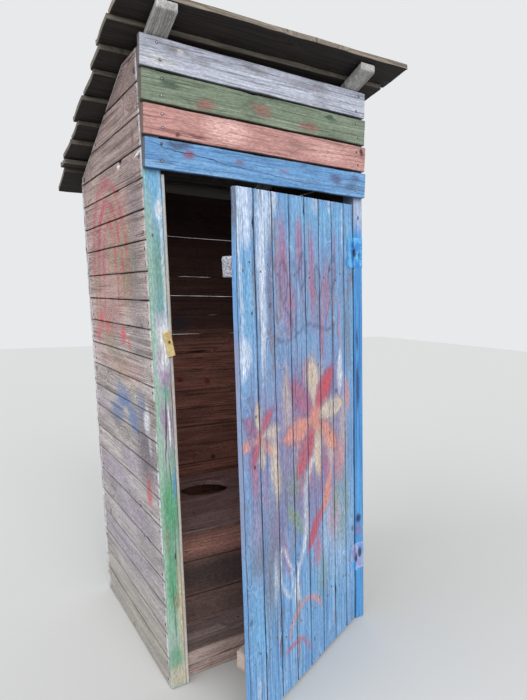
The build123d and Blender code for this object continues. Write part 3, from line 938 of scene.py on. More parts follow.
# Worn and faded places of the door's paint: (paint, softness, patches)
DOOR_WEAR = (
    (rgb(122, 184, 228), 0.7, ((-0.36, 1.55, 0.05, 0.16, 0.7), (-0.02, 1.34, 0.12, 0.08, 0.5),
                               (0.30, 0.45, 0.16, 0.22, 0.3), (0.42, 1.40, 0.04, 0.16, 0.6),
                               (0.18, 1.86, 0.26, 0.06, 0.5), (-0.34, 0.36, 0.08, 0.16, 0.4))),
    (rgb(146, 144, 176), 0.8, ((0.05, 1.55, 0.32, 0.16, 0.4), (-0.20, 1.00, 0.20, 0.36, 0.45),
                               (0.12, 0.85, 0.26, 0.28, 0.4), (-0.345, 0.78, 0.038, 0.18, 0.8),
                               (-0.26, 0.68, 0.06, 0.24, 0.5))),
    (rgb(178, 196, 222), 0.8, ((0.28, 0.50, 0.14, 0.18, 0.5), (0.0, 1.02, 0.24, 0.20, 0.3))),
    (rgb(110, 122, 132), 0.8, ((-0.24, 0.55, 0.05, 0.20, 0.6), (-0.10, 0.80, 0.10, 0.12, 0.45),
                               (0.38, 1.45, 0.03, 0.14, 0.45), (-0.34, 0.62, 0.05, 0.06, 0.5))),
    (rgb(206, 222, 246), 0.35, ((-0.362, 1.82, 0.047, 0.115, 0.9), (-0.250, 1.82, 0.046, 0.11, 0.75),
                                (-0.190, 1.88, 0.018, 0.05, 0.8), (0.10, 1.90, 0.026, 0.035, 0.6),
                                (0.225, 1.92, 0.020, 0.04, 0.4), (0.337, 1.83, 0.008, 0.10, 0.5))),
    (rgb(212, 224, 244), 0.6, ((-0.268, 1.60, 0.022, 0.20, 0.9), (-0.278, 1.40, 0.015, 0.14, 0.8),
                               (-0.398, 1.56, 0.007, 0.24, 0.85), (-0.383, 1.34, 0.026, 0.06, 0.85),
                               (-0.230, 0.50, 0.014, 0.10, 0.5), (-0.36, 0.10, 0.012, 0.08, 0.5))),
    (rgb(128, 120, 138), 0.7, ((-0.222, 1.56, 0.014, 0.24, 0.65), (-0.312, 1.62, 0.010, 0.16, 0.5),
                               (0.40, 1.34, 0.03, 0.12, 0.5))),
    (ROSE, 0.6, ((-0.145, 1.70, 0.030, 0.13, 0.65), (-0.02, 1.74, 0.026, 0.10, 0.55),
                 (0.075, 1.62, 0.026, 0.17, 0.6), (0.19, 1.56, 0.030, 0.13, 0.55),
                 (-0.10, 1.50, 0.035, 0.10, 0.5), (0.26, 1.72, 0.016, 0.12, 0.4),
                 (0.145, 1.40, 0.024, 0.10, 0.45), (0.31, 1.42, 0.014, 0.12, 0.4))),
)

# Petals of a loose flower (turn, reach, paint), and the two flowers (x, z, size, strength)
PETALS = ((96, 0.135, CREAM), (52, 0.130, RED), (8, 0.140, CREAM), (-38, 0.125, PEACH), (-84, 0.12, CREAM),
          (-128, 0.13, RED), (-172, 0.135, PEACH), (142, 0.13, ROSE))
FLOWERS = ((0.085, 1.06, 1.0, 1.0), (-0.305, 1.06, 0.5, 0.75))

# Buds above the flowers (x, z, turn), leaves round the stem (paint, x, z, half width, half height,
# turn) and drips (paint, x, top, bottom)
BUD_LINE = rgb(74, 72, 104)
BUDS = ((-0.135, 1.60, 8), (-0.005, 1.64, -10), (0.125, 1.60, 6), (0.245, 1.65, -8))
STEM_LEAVES = ((SAGE, -0.075, 0.68, 0.026, 0.10, 38), (RED, 0.075, 0.60, 0.030, 0.11, -42),
               (PEACH, 0.175, 0.73, 0.030, 0.10, -24), (SAGE, 0.255, 0.68, 0.024, 0.10, -6),
               (LILAC, -0.155, 0.55, 0.022, 0.10, 18), (ROSE, 0.16, 0.86, 0.03, 0.08, 12))
FLOWER_DRIPS = ((RED, 0.03, 0.93, 0.78), (ROSE, 0.12, 0.90, 0.74), (CREAM, 0.215, 0.93, 0.80),
                (ROSE, -0.285, 0.93, 0.80), (PEACH, -0.01, 0.98, 0.83))

# Soft washes behind the flowers: (paint, patches)
DOOR_WASHES = (
    (LILAC, ((-0.09, 1.06, 0.10, 0.22, 0.6), (0.16, 0.84, 0.14, 0.13, 0.6), (0.02, 0.70, 0.10, 0.12, 0.45),
             (0.27, 1.12, 0.06, 0.16, 0.45), (-0.20, 0.70, 0.05, 0.12, 0.5))),
    (CREAM, ((-0.13, 1.16, 0.030, 0.11, 0.7), (0.21, 0.94, 0.050, 0.09, 0.65), (0.33, 0.98, 0.035, 0.12, 0.6),
             (-0.06, 0.92, 0.035, 0.08, 0.55), (0.13, 1.24, 0.03, 0.05, 0.5))),
    (PEACH, ((0.30, 0.84, 0.050, 0.09, 0.65), (0.02, 1.24, 0.030, 0.06, 0.65), (0.24, 0.60, 0.05, 0.10, 0.45),
             (-0.05, 1.02, 0.030, 0.05, 0.55))),
    (RED, ((-0.07, 1.17, 0.030, 0.06, 0.6), (0.19, 1.17, 0.028, 0.06, 0.5), (0.09, 0.50, 0.03, 0.06, 0.5),
           (-0.03, 0.84, 0.025, 0.06, 0.45))),
    (SAGE, ((-0.08, 0.84, 0.05, 0.06, 0.5), (0.35, 0.66, 0.04, 0.11, 0.55), (0.31, 0.50, 0.04, 0.07, 0.45))),
)


def spray_flower(canvas, x, z, size, strength):
    """Pointed petals round a middle, each (x, z) + reach * (cos, sin) of its turn, with dark outlines."""
    canvas.lay(LILAC, 0.55 * strength, canvas.oval(0.6, x, z, 0.25 * size, 0.27 * size))
    for turn, reach, paint in PETALS:
        right = x + size * reach * math.cos(math.radians(turn))
        up = z + size * 1.15 * reach * math.sin(math.radians(turn))
        shape = (right, up, 0.050 * size, 0.120 * size, turn - 90)
        canvas.lay(paint, 0.85 * strength, canvas.leaf(0.48, *shape))
        canvas.lay(NAVY, 0.35 * strength, canvas.leaf_line(0.007, *shape))
    canvas.lay(PEACH, 0.9 * strength, canvas.oval(0.5, x, z, 0.042 * size, 0.050 * size))


def spray_door(points):
    """Faded paint, and over it a loose flower with buds above it, a pale stem and drips below."""
    canvas = Canvas(points[:, 0], points[:, 2], 0.010)
    canvas.lay_ovals(DOOR_WEAR)
    for x, z, turn in BUDS:
        canvas.lay(BUD_LINE, 0.6, canvas.leaf_line(0.006, x, z, 0.026, 0.075, turn))
        canvas.lay(BUD_LINE, 0.45, canvas.stroke(0.005, ((x, z - 0.08), (0.6 * x + 0.03, 1.42))))
    twig = wave_path((-0.20, 1.40), (0.27, 1.44), 3, 0.022)
    canvas.lay(BUD_LINE, 0.55, canvas.stroke(0.006, twig))
    canvas.lay_ovals((paint, 0.7, patches) for paint, patches in DOOR_WASHES)
    for flower in FLOWERS:
        spray_flower(canvas, *flower)
    canvas.lay(CREAM, 0.75, canvas.oval(0.6, -0.215, 0.93, 0.028, 0.12, 4))
    canvas.lay(WHITE, 0.75, canvas.leaf(0.5, 0.305, 1.23, 0.024, 0.10, -4))
    canvas.lay(PEACH, 0.7, canvas.leaf(0.5, 0.375, 1.12, 0.020, 0.09, 6))
    canvas.lay(ROSE, 0.6, canvas.oval(0.6, -0.35, 0.93, 0.020, 0.08, 0))
    stem = wave_path((0.045, 0.90), (-0.085, 0.36), 3, 0.020)
    canvas.lay(WHITE, 0.9, canvas.stroke(0.015, stem))
    for paint, *shape in STEM_LEAVES:
        canvas.lay(paint, 0.75, canvas.leaf(0.45, *shape))
    canvas.lay(WHITE, 0.7, canvas.leaf_line(0.006, -0.165, 0.50, 0.034, 0.12, 14))
    canvas.lay(PEACH, 0.75, canvas.stroke(0.009, arc_path(-0.02, 0.20, 0.13, 0.12, 20, 165)))
    canvas.lay(RED, 0.65, canvas.stroke(0.008, arc_path(-0.11, 0.08, 0.12, 0.11, 15, 120)))
    canvas.lay(SAGE, 0.4, canvas.oval(0.7, 0.13, 0.36, 0.05, 0.09))
    for paint, x, top, bottom in FLOWER_DRIPS:
        canvas.lay(paint, 0.55, canvas.stroke(0.007, ((x, top), (x + 0.004, bottom))))
    return canvas


def door_material():
    """The door: worn blue paint with pale streaks and a loose pattern of soft sprayed colours."""
    shader = new_material("door_paint")
    wood = Wood(shader, rgb(196, 194, 208), rgb(112, 112, 136), GREY_DEEP, 0.3)
    blue = brushed(shader, wood, rgb(86, 130, 186), rgb(120, 170, 218), rgb(160, 196, 232))
    cover = shader.step(wood.cloud, 0.30, 0.56, 0.26, 0.80)
    colour = worn_paint(shader, wood, blue, cover)
    colour = sprayed(shader, wood, colour, 3.0)
    colour = shader.mix(colour, rgb(84, 88, 122), shader.step(wood.streak, 0.56, 0.74) * 0.5)
    colour = gritty(shader, wood, colour, 1.6)
    colour = marks_over(shader, wood, colour, DOOR_MARKS, flat_place(shader, 0.006))
    colour = shader.mix(colour, GREY_DEEP, wood.check * 0.45)
    colour = shader.mix(colour, GREY_DEEP, wood.core * 0.5)
    # Painted shade: a dark navy line along each board's long edges, for the shadow in the joints.
    colour = shader.mix(colour, rgb(30, 34, 52), shader.step(wood.rim, 0.60, 0.97) * 0.8)
    inside = shader.mix(wood.colour, rgb(132, 108, 94), 0.6)
    side = shader.attribute("side", "Fac")
    colour = shader.mix(colour, inside, shader.step(side, 0.93, 0.98))
    x, _, height = shader.split(shader.attribute("spot"))
    edge = shader.step(x, -0.4015, -0.4085) * shader.step(side, 0.10, 0.2)
    faded = shader.step(height, 1.50, 1.36) * shader.step(height, 0.55, 0.75)
    edge_paint = shader.mix(shader.mix(blue, rgb(92, 138, 190), 0.6), rgb(146, 142, 164), faded * 0.6)
    colour = shader.mix(colour, gritty(shader, wood, edge_paint, 0.8), edge)
    return shader.finish(colour, 0.72, wood.height, 0.5, 0.0011)


# Paint on the hinges: dark middle knuckles, and navy, lilac and cyan on the lower hinge
HINGE_MARKS = (
    (rgb(26, 34, 66), ((0.4475, 1.748, 0.010, 0.020, 0, 0.95), (0.4475, 0.322, 0.010, 0.022, 0, 0.9),
                       (0.474, 0.338, 0.011, 0.026, 0, 0.9), (0.478, 1.735, 0.003, 0.020, 0, 0.8))),
    (rgb(150, 142, 192), ((0.473, 0.285, 0.012, 0.018, 0, 0.8), (0.432, 0.345, 0.014, 0.030, 0, 0.6))),
    (rgb(64, 170, 232), ((0.424, 0.282, 0.018, 0.020, 0, 0.95),)),
)


def hinge_material():
    """Hinges painted over in bright blue, the lower one paler, with some dark steel bare."""
    shader = new_material("painted_hinge")
    place = shader.place()
    x, _, height = shader.split(place)
    flat = shader.join(x - height * LEAN, height)
    rough = shader.noise(place, 70, 4, 0.65)
    blotch = shader.noise(place, 26, 3, 0.6)
    blotches = shader.step(blotch, 0.40, 0.56)
    upper = shader.mix(rgb(56, 136, 212), rgb(104, 188, 240), blotches)
    lower = shader.mix(rgb(116, 158, 216), rgb(164, 180, 222), blotches)
    colour = shader.mix(lower, upper, shader.step(height, 0.9, 1.1))
    for paint, marks in HINGE_MARKS:
        colour = shader.mix(colour, paint, oval_marks(shader, flat, marks, 0.4))
    colour = shader.mix(colour, rgb(30, 44, 84), shader.step(rough, 0.60, 0.68) * 0.7)
    return shader.finish(colour, 0.5, rough, 0.4, 0.0008, coat=0.15)


def strand_board_material():
    """Pressed strand board: pale yellow flakes that lie every way."""
    shader = new_material("strand_board")
    place = shader.place()
    sockets = {"Vector": place, "Scale": 90.0}
    flakes = shader.node("ShaderNodeTexVoronoi", None, sockets, output="Color")
    tint = shader.split(flakes)[0]
    colour = shader.mix(rgb(192, 164, 104), rgb(222, 200, 146), tint)
    grain = shader.noise(place, 240, 2, 0.6)
    colour = shader.mix(colour, rgb(136, 100, 56), shader.step(grain, 0.6, 0.72) * 0.6)
    return shader.finish(colour, 0.7, tint + grain, 0.5, 0.0006)


def nail_material():
    """Nail heads: dull steel in the middle and rust-dark towards the rim."""
    shader = new_material("nail_steel")
    radius = shader.attribute("radius", "Fac")
    place = shader.place()
    spots = shader.noise(place, 160, 2, 0.6)
    head = shader.mix(rgb(186, 184, 188), rgb(96, 80, 74), shader.step(spots, 0.42, 0.62))
    colour = shader.mix(head, rgb(36, 30, 29), shader.step(radius, 0.64, 0.76))
    return shader.finish(colour, 0.6, spots, 0.3, 0.0004, metallic=0.2)


def screw_material():
    """Dull steel with a little rust."""
    shader = new_material("screw_steel")
    place = shader.place()
    spots = shader.noise(place, 300, 2, 0.6)
    colour = shader.mix(rgb(150, 142, 130), rgb(98, 70, 52), shader.step(spots, 0.45, 0.6))
    return shader.finish(colour, 0.45, spots, 0.2, 0.0003, metallic=0.7)


# Building the pieces


def roof_cut(node):
    """How a side wall or post is cut: the height of its top edge at y, and the y where it meets z."""
    _, long, _, _ = edges_of("left_rafter")
    slope = -long[2] / long[1]
    points = unleaned(node_points(node))
    rear = points[:, 1].max()
    rear_top = points[points[:, 1] > rear - 0.001][:, 2].max()
    z_at = lambda y: rear_top + slope * (rear - y)
    y_at = lambda z: np.minimum(rear, rear - (z - rear_top) / slope)
    return z_at, y_at


def rows_between(low, high, joints, gaps):
    """Lower and upper edge of each board, with half a gap off at each joint."""
    halves = [0] + [gap / 2 for gap in gaps] + [0]
    edges = [low] + list(joints) + [high]
    return [(edges[n] + halves[n], edges[n + 1] - halves[n + 1]) for n in range(len(edges) - 1)]


def make_side_wall(name, material, notches, spray=None):
    """Planks along Y, the upper ones cut to the roof slope, in the place of a side wall."""
    low, high = upright_box(name)
    _, y_at = roof_cut(name)
    outer, inner = (low[0], high[0]) if name == "left_wall" else (high[0], low[0])
    boards = []
    rows = rows_between(low[2] + GROUND_GAP, high[2], SIDE_WALL_JOINTS, SIDE_WALL_GAPS)
    for number, (bottom, top) in enumerate(rows):
        front_gap = rng.uniform(0.001, 0.003)
        corner = np.array([outer, low[1], bottom])
        start = lambda v, w, front_gap=front_gap: front_gap
        stop = lambda v, w, bottom=bottom: y_at(bottom + v) - low[1]
        boards.append(plank(corner, np.array([0, high[1] - low[1], 0]), np.array([0, 0, top - bottom]),
                            np.array([inner - outer, 0, 0]), start=start, stop=stop,
                            notches=notches.get(number, ()), **(FINE if spray else {})))
    make_piece(name + "_boards", boards, material, replaces=(name,), place=leaned,
               spray=spray)


def make_back_wall(material):
    """Planks along X with slits between them, through which daylight shows."""
    low, high = upright_box("back_wall")
    joints = [BACK_WALL_FIRST_JOINT + number * BACK_WALL_PITCH for number in range(len(BACK_WALL_GAPS))]
    boards = []
    for bottom, top in rows_between(low[2] + GROUND_GAP, high[2], joints, BACK_WALL_GAPS):
        corner = np.array([low[0], high[1], bottom])
        boards.append(plank(corner, np.array([high[0] - low[0], 0, 0]), np.array([0, 0, top - bottom]),
                            np.array([0, low[1] - high[1], 0]), wander=0.0006, ease=0.001))
    make_piece("back_wall_boards", boards, material, replaces=("back_wall",),
               place=leaned)


# The boards over the doorway: (slot, (deep, middle, pale), cover, stains)
HEADERS = (
    ("header_white", (rgb(136, 138, 154), rgb(186, 190, 206), rgb(218, 222, 234)), 0.62,
     ((rgb(126, 122, 124), ((-0.365, 2.393, 0.05, 0.014, 0, 0.6), (-0.05, 2.397, 0.05, 0.012, 0, 0.7),
                            (-0.27, 2.375, 0.04, 0.012, 0, 0.5), (0.20, 2.39, 0.10, 0.012, 0, 0.5))),
      (rgb(222, 222, 220), ((-0.351, 2.388, 0.012, 0.010, 0, 0.6), (-0.42, 2.345, 0.06, 0.02, 0, 0.4))),
      (rgb(156, 132, 126), ((-0.353, 2.388, 0.006, 0.004, 0, 0.5),)))),
    ("header_green", (rgb(90, 102, 84), rgb(124, 138, 118), rgb(156, 164, 146)), 0.72,
     ((rgb(66, 86, 72), ((-0.393, 2.282, 0.035, 0.014, 0, 0.8), (0.309, 2.289, 0.03, 0.010, 0, 0.8))),
      (rgb(148, 96, 90), ((-0.26, 2.235, 0.035, 0.018, 10, 0.75), (-0.02, 2.262, 0.04, 0.016, -8, 0.7),
                          (0.20, 2.236, 0.045, 0.014, 0, 0.7))))),
    ("header_pink", (rgb(150, 104, 100), rgb(196, 146, 140), rgb(214, 172, 166)), 0.8,
     ((rgb(74, 46, 46), ((0.477, 2.178, 0.010, 0.016, 0, 1.0), (-0.30, 2.112, 0.03, 0.006, 0, 0.7),
                         (-0.37, 2.110, 0.008, 0.006, 0, 0.9))),
      (rgb(226, 182, 176), ((-0.18, 2.16, 0.08, 0.04, 0, 0.8), (0.30, 2.15, 0.07, 0.03, 0, 0.5))))),
    ("header_blue", (rgb(80, 124, 172), rgb(108, 158, 208), rgb(142, 186, 224)), 0.85,
     ((rgb(76, 92, 120), ((-0.374, 2.077, 0.045, 0.012, 0, 0.9), (0.42, 2.03, 0.03, 0.02, 0, 0.5))),
      (rgb(138, 84, 108), ((-0.338, 2.050, 0.022, 0.013, 0, 0.75), (-0.125, 2.053, 0.018, 0.010, 0, 0.6),
                           (0.069, 2.049, 0.02, 0.008, 0, 0.5))),
      (rgb(84, 78, 118), ((0.338, 2.050, 0.032, 0.018, 0, 0.7), (0.44, 2.062, 0.02, 0.012, 0, 0.5))),
      (rgb(40, 58, 92), ((-0.28, 2.048, 0.22, 0.0014, -6, 1.0), (0.02, 2.026, 0.16, 0.0010, -3, 0.8))))),
)


def make_headers():
    """The four painted boards over the doorway."""
    for number, (slot, tones, cover, stains) in enumerate(HEADERS, 1):
        node = "header_board_" + str(number)
        low, high = standing_box(node)
        notches = ((0.428, "high", 0.012, 0.008),) if slot == "header_green" else ()
        board = squared(low, high, "x", "y", notches=notches, wander=0.0012, ease=0.0022)
        shift = LEAN * (low[2] + high[2]) / 2
        board.points[:, 0] -= shift
        paint = header_material(slot, tones, cover, stains)
        make_piece(node + "_plank", [board], paint, replaces=(node,),
                   place=lambda points, shift=shift: points + (shift, 0, 0))


def make_post(node, material, faced, spray=None):
    """A corner post cut to the roof slope. A front post has a wider board as its face."""
    low, high = upright_box(node)
    z_at, _ = roof_cut(node)
    boards = []
    left, right, front = low[0], high[0], low[1]
    low[2] += GROUND_GAP
    if faced:
        face_top = upright_box("left_wall")[1][2]
        front = low[1] + POST_FACE_THICKNESS
        boards.append(squared(low, (high[0], front, face_top), "z", "y", wander=0.0004, ease=0.0032,
                              step=0.012, row_step=0.005))
        left = max(left, upright_box("left_wall")[1][0])
        right = min(right, upright_box("right_wall")[0][0])
    stop = lambda v, w, front=front: z_at(front + w)
    boards.append(squared((left, front, low[2]), (right, high[1], high[2]), "z", "y", stop=stop,
                          wander=0.0004))
    make_piece(node + "_timber", boards, material, replaces=(node,), place=leaned, spray=spray)


def make_frame_timbers(wood, floor_wood, front_wood, inner_wood, strip_paint):
    """The strip beside the door, the sills, the bearer, the cleats and the floor boards."""
    low, high = upright_box("jamb_strip")
    low[2] += GROUND_GAP
    make_piece("jamb_strip_batten", [squared(low, high, "z", "y", wander=0.0004)], strip_paint,
               replaces=("jamb_strip",), place=leaned, spray=spray_left_post)
    for node, grain in (("front_sill", "x"), ("back_sill", "x"), ("floor_bearer", "x"), ("left_sill", "y"),
                        ("right_sill", "y")):
        low, high = upright_box(node)
        low[2] += GROUND_GAP
        board = squared(low, high, grain, "y" if grain == "x" else "x", ease=0.004, wander=0.0015)
        make_piece(node + "_timber", [board], front_wood if node == "front_sill" else wood,
                   replaces=(node,), place=leaned)
    for node in ("left_seat_cleat", "right_seat_cleat"):
        low, high = upright_box(node)
        make_piece(node + "_batten", [squared(low, high, "y", "x")], inner_wood,
                   replaces=(node,), place=leaned)
    low, high = upright_box("floor")
    rows = rows_between(low[1], high[1], (low[1] + FLOOR_JOINT,), (FLOOR_GAP,))
    boards = [squared((low[0], front, low[2]), (high[0], back, high[2]), "x", "z") for front, back in rows]
    make_piece("floor_boards", boards, floor_wood, replaces=("floor",), place=leaned)


def make_roof(rafter_wood, front_wood, board_wood):
    """Rafters and lapped roof boards, each along its own slanted edges. The front board is the palest."""
    for node in ("left_rafter", "right_rafter"):
        make_piece(node + "_plank", [plank(*edges_of(node), ease=0.003, wander=0.001)], rafter_wood,
                   replaces=(node,))
    for number in range(1, ROOF_BOARDS + 1):
        node = "roof_board_" + str(number)
        board = plank(*pulled_in(*edges_of(node), 0.0025, 0.001), ease=0.002, wander=0.0018, ragged=0.002)
        make_piece(node + "_plank", [board], front_wood if number == 1 else board_wood,
                   replaces=(node,))


DOOR_NOTCHES = {0: ((1.830, "high", 0.018, 0.010),), 3: ((1.892, "high", 0.010, 0.007),),
                6: ((0.238, "low", 0.022, 0.002),)}


def make_door(paint, ledge_wood):
    """Eight upright boards with a slanting top edge, and the two ledges that hold them.

    The free edge moves in towards the upper corner: it stays put below and then runs straight to it.
    """
    low, high = upright_box("door_boards", unswung)
    points = unswung(node_points("door_boards"))
    upper = points[points[:, 2] > 1.8]
    corner_x, _, corner_z = upper[np.argmin(upper[:, 0])]
    taper_start = points[points[:, 0] < low[0] + 0.001][:, 2].max()
    climb = (high[2] - corner_z) / (high[0] - corner_x)
    taper_height = corner_z - taper_start
    taper = lambda u: (corner_x - low[0]) * np.clip((u + low[2] - taper_start) / taper_height, 0, 1)
    boards = []
    for number, (x0, x1) in enumerate(rows_between(low[0], high[0], DOOR_JOINTS, DOOR_GAPS)):
        bottom = low[2] + rng.uniform(0, 0.003)
        stop = lambda v, w, x0=x0, bottom=bottom: corner_z + climb * (x0 + v - corner_x) - bottom
        boards.append(squared((x0, low[1], bottom), (x1, high[1], high[2]), "z", "y", stop=stop,
                              notches=DOOR_NOTCHES.get(number, ()), wander=0.0009, ease=0.0022,
                              draw_in=taper if number == 0 else None, cup=rng.uniform(0.0, 0.0008), **FINE))
    make_piece("door_boards_painted", boards, paint, "door", ("door_boards",), swung,
               spray_door)
    for node in ("door_top_ledge", "door_bottom_ledge"):
        low, high = upright_box(node, unswung)
        make_piece(node + "_plank", [squared(low, high, "x", "y", ease=0.004, wander=0.0015, ragged=0.002)],
                   ledge_wood, "door", (node,), swung)


def oval_board(low, high, centre, half_x, half_y):
    """A flat board with an oval hole: (1 - t) * oval + t * outline, over the angle and over t.

    The outline is the rectangle reached from the hole's centre at each angle, and the board's
    top, outer edge, underside and inner rim are one closed strip of rings.
    """
    corners = [math.atan2(y - centre[1], x - centre[0]) for x in (low[0], high[0])
               for y in (low[1], high[1])]
    angle = np.concatenate([np.linspace(0, 2 * math.pi, 96, endpoint=False), np.mod(corners, 2 * math.pi)])
    angle = np.sort(angle)
    cosine, sine = np.cos(angle), np.sin(angle)
    wall_x = np.where(cosine > 0, high[0] - centre[0], centre[0] - low[0])
    wall_y = np.where(sine > 0, high[1] - centre[1], centre[1] - low[1])
    far = np.minimum(wall_x / np.maximum(np.abs(cosine), 1e-6), wall_y / np.maximum(np.abs(sine), 1e-6))
    near = 1 / np.sqrt((cosine / half_x) ** 2 + (sine / half_y) ** 2)
    ease, steps = 0.003, 7
    top, bottom = high[2], low[2]
    share = np.concatenate([[0, 0], np.linspace(0, 1, steps), [1, 1], np.linspace(1, 0, steps)])
    push = np.concatenate([[0, 0.35 * ease, ease], np.zeros(steps - 2), [-0.5 * ease, 0, 0],
                           np.zeros(steps)])
    height = np.concatenate([[top - ease, top - 0.35 * ease], np.full(steps, top),
                             [top - ease, bottom + ease], np.full(steps, bottom)])
    reach = near[None, :] * (1 - share[:, None]) + far[None, :] * share[:, None] + push[:, None]
    x = centre[0] + reach * cosine[None, :]
    y = centre[1] + reach * sine[None, :]
    z = np.repeat(height[:, None], len(angle), 1)
    points = np.stack([x, y, z], -1).reshape(-1, 3)
    rings, count = reach.shape
    i, j = np.meshgrid(np.arange(rings), np.arange(count), indexing="ij")
    below, after = (i + 1) % rings, (j + 1) % count
    faces = np.stack([i * count + j, below * count + j, below * count + after, i * count + after], -1)
    timber = points - (low[0] - 7.0, low[1] - 0.12, low[2] - 0.05)
    rim = np.exp(-np.abs(reach - near[None, :]) / RIM_REACH).ravel()
    facts = np.stack([np.full(len(points), 0.5), 0.6 * rim, np.zeros(len(points))], -1)
    return Board(points, faces.reshape(-1, 4), timber, facts, (points[:, 2] - bottom) / (top - bottom))


def make_seat(seat_wood, riser_wood):
    """Seat boards with the oval hole, and the boards that close the front of the bench."""
    low, high = upright_box("seat_top")
    boards = []
    for number, (front, back) in enumerate(rows_between(low[1], high[1], SEAT_JOINTS, SEAT_GAPS)):
        left, right = low[0], high[0]
        if number == len(SEAT_JOINTS):
            left = upright_box("left_back_post")[1][0] + 0.001
            right = upright_box("right_back_post")[0][0] - 0.001
        corner, far = (left, front, low[2]), (right, back, high[2])
        if number == 2:
            boards.append(oval_board(corner, far, SEAT_HOLE_CENTRE, *SEAT_HOLE_HALF))
        else:
            boards.append(squared(corner, far, "x", "z"))
    make_piece("seat_boards", boards, seat_wood, replaces=("seat_top",), place=leaned)
    low, high = upright_box("seat_front_boards")
    rows = rows_between(low[2], high[2], RISER_JOINTS, RISER_GAPS)
    boards = [squared((low[0], low[1], z0), (high[0], high[1], z1), "x", "y") for z0, z1 in rows]
    make_piece("seat_front_planks", boards, riser_wood, replaces=("seat_front_boards",),
               place=leaned)


# Nail heads: how far up a board they sit, and their rings from the wood outwards
NAIL_SHARES = (0.24, 0.78)
NAIL_SIDES = 10
NAIL_RADII = np.array([1.3, 1.3, 1.0, 0.94, 0.6])
NAIL_RISES = np.array([-0.0006, 0.0002, 0.0003, 0.0010, 0.0013])


def nail_heads(places, normals, radius):
    """Shallow domes: place + radius * r * (cos a, sin a) + h * normal, over the angle a and the
    radii r and rises h of a nail head's rings, closed by a flat cap above and below."""
    normals = normals / np.linalg.norm(normals, axis=1, keepdims=True)
    side = np.cross(normals, (0.3, 0.5, 0.8))
    side = side / np.linalg.norm(side, axis=1, keepdims=True)
    other = np.cross(normals, side)
    turn = np.linspace(0, 2 * math.pi, NAIL_SIDES, endpoint=False)[None, :, None]
    circle = np.cos(turn) * side[:, None] + np.sin(turn) * other[:, None]
    outward = radius * NAIL_RADII[None, :, None, None] * circle[:, None]
    upward = NAIL_RISES[None, :, None, None] * normals[:, None, None]
    points = places[:, None, None] + outward + upward
    rings = len(NAIL_RADII)
    layer, k = np.meshgrid(np.arange(rings - 1), np.arange(NAIL_SIDES), indexing="ij")
    after = (k + 1) % NAIL_SIDES
    quads = np.stack([layer * NAIL_SIDES + k, layer * NAIL_SIDES + after, (layer + 1) * NAIL_SIDES + after,
                      (layer + 1) * NAIL_SIDES + k], -1).reshape(-1, 4)
    bases = np.arange(len(places)) * rings * NAIL_SIDES
    faces = (bases[:, None, None] + quads).reshape(-1, 4).tolist()
    cap = np.arange(NAIL_SIDES)
    faces += (bases[:, None] + (rings - 1) * NAIL_SIDES + cap).tolist()
    faces += (bases[:, None] + cap[::-1]).tolist()
    radii = np.tile(np.repeat(NAIL_RADII / NAIL_RADII.max(), NAIL_SIDES), len(places))
    return points.reshape(-1, 3), faces, radii


def make_nails(name, places, normal, material, body="hut", place=leaned, radius=0.0042):
    """One mesh of nail heads that all point the same way before they are put in place."""
    spots = np.array(places, float)
    points, faces, radii = nail_heads(spots, np.tile(np.array(normal, float), (len(spots), 1)), radius)
    mesh = bpy.data.meshes.new(name)
    mesh.from_pydata(place(points).tolist(), [], faces)
    store(mesh, "radius", radii)
    finish_mesh(name, mesh, material, body)


def jitter(reach):
    """A small random shift, so that nails never line up exactly."""
    return rng.uniform(-reach, reach)


def nail_side_walls(steel):
    """Two nails at the front and two at the rear of every plank of the side walls."""
    for name, sign in (("left_wall", -1), ("right_wall", 1)):
        low, high = upright_box(name)
        _, y_at = roof_cut(name)
        x = low[0] if sign < 0 else high[0]
        places = []
        for bottom, top in rows_between(low[2], high[2], SIDE_WALL_JOINTS, SIDE_WALL_GAPS):
            for share in NAIL_SHARES:
                z = bottom + share * (top - bottom) + jitter(0.005)
                places.append((x, low[1] + 0.022 + jitter(0.004), z))
                rear = float(y_at(z)) - 0.035
                if rear > low[1] + 0.1:
                    places.append((x, rear + jitter(0.004), z))
        make_nails(name + "_nails", places, (sign, 0, 0), steel)


def nail_back_wall(steel):
    """Two nails at each end of every plank of the back wall."""
    low, high = upright_box("back_wall")
    places = []
    for number in range(len(BACK_WALL_GAPS) + 1):
        middle = BACK_WALL_FIRST_JOINT + (number - 0.5) * BACK_WALL_PITCH
        for x in (low[0] + 0.04, high[0] - 0.035):
            for rise in (-0.028, 0.027):
                z = middle + rise + jitter(0.004)
                if 0.01 < z < high[2] - 0.01:
                    places.append((x + jitter(0.004), high[1], z))
    make_nails("back_wall_nails", places, (0, 1, 0), steel)


def nail_headers(steel):
    """Two nails at each end of the boards over the doorway."""
    places = []
    for number in range(1, 5):
        low, high = standing_box("header_board_" + str(number))
        for x in (low[0] + 0.068, high[0] - 0.045):
            for share in NAIL_SHARES:
                z = low[2] + share * (high[2] - low[2])
                places.append((x + jitter(0.008), low[1], z + jitter(0.006)))
    make_nails("header_nails", places, (0, -1, 0), steel, place=as_drawn)


def nail_roof(steel):
    """Two nails through every roof board into each rafter."""
    for number in range(1, ROOF_BOARDS + 1):
        corner, along, across, through = edges_of("roof_board_" + str(number))
        upward = through / np.linalg.norm(through)
        top = corner + through if upward[2] > 0 else corner
        places = []
        for rafter in ("left_rafter", "right_rafter"):
            low, high = standing_box(rafter)
            share = ((low[0] + high[0]) / 2 - corner[0]) / along[0]
            for part in (0.34, 0.78):
                aside = jitter(0.006) * along / np.linalg.norm(along)
                places.append(top + share * along + part * across + aside)
        normal = upward * np.sign(upward[2])
        make_nails("roof_board_" + str(number) + "_nails", places, normal, steel, place=as_drawn)


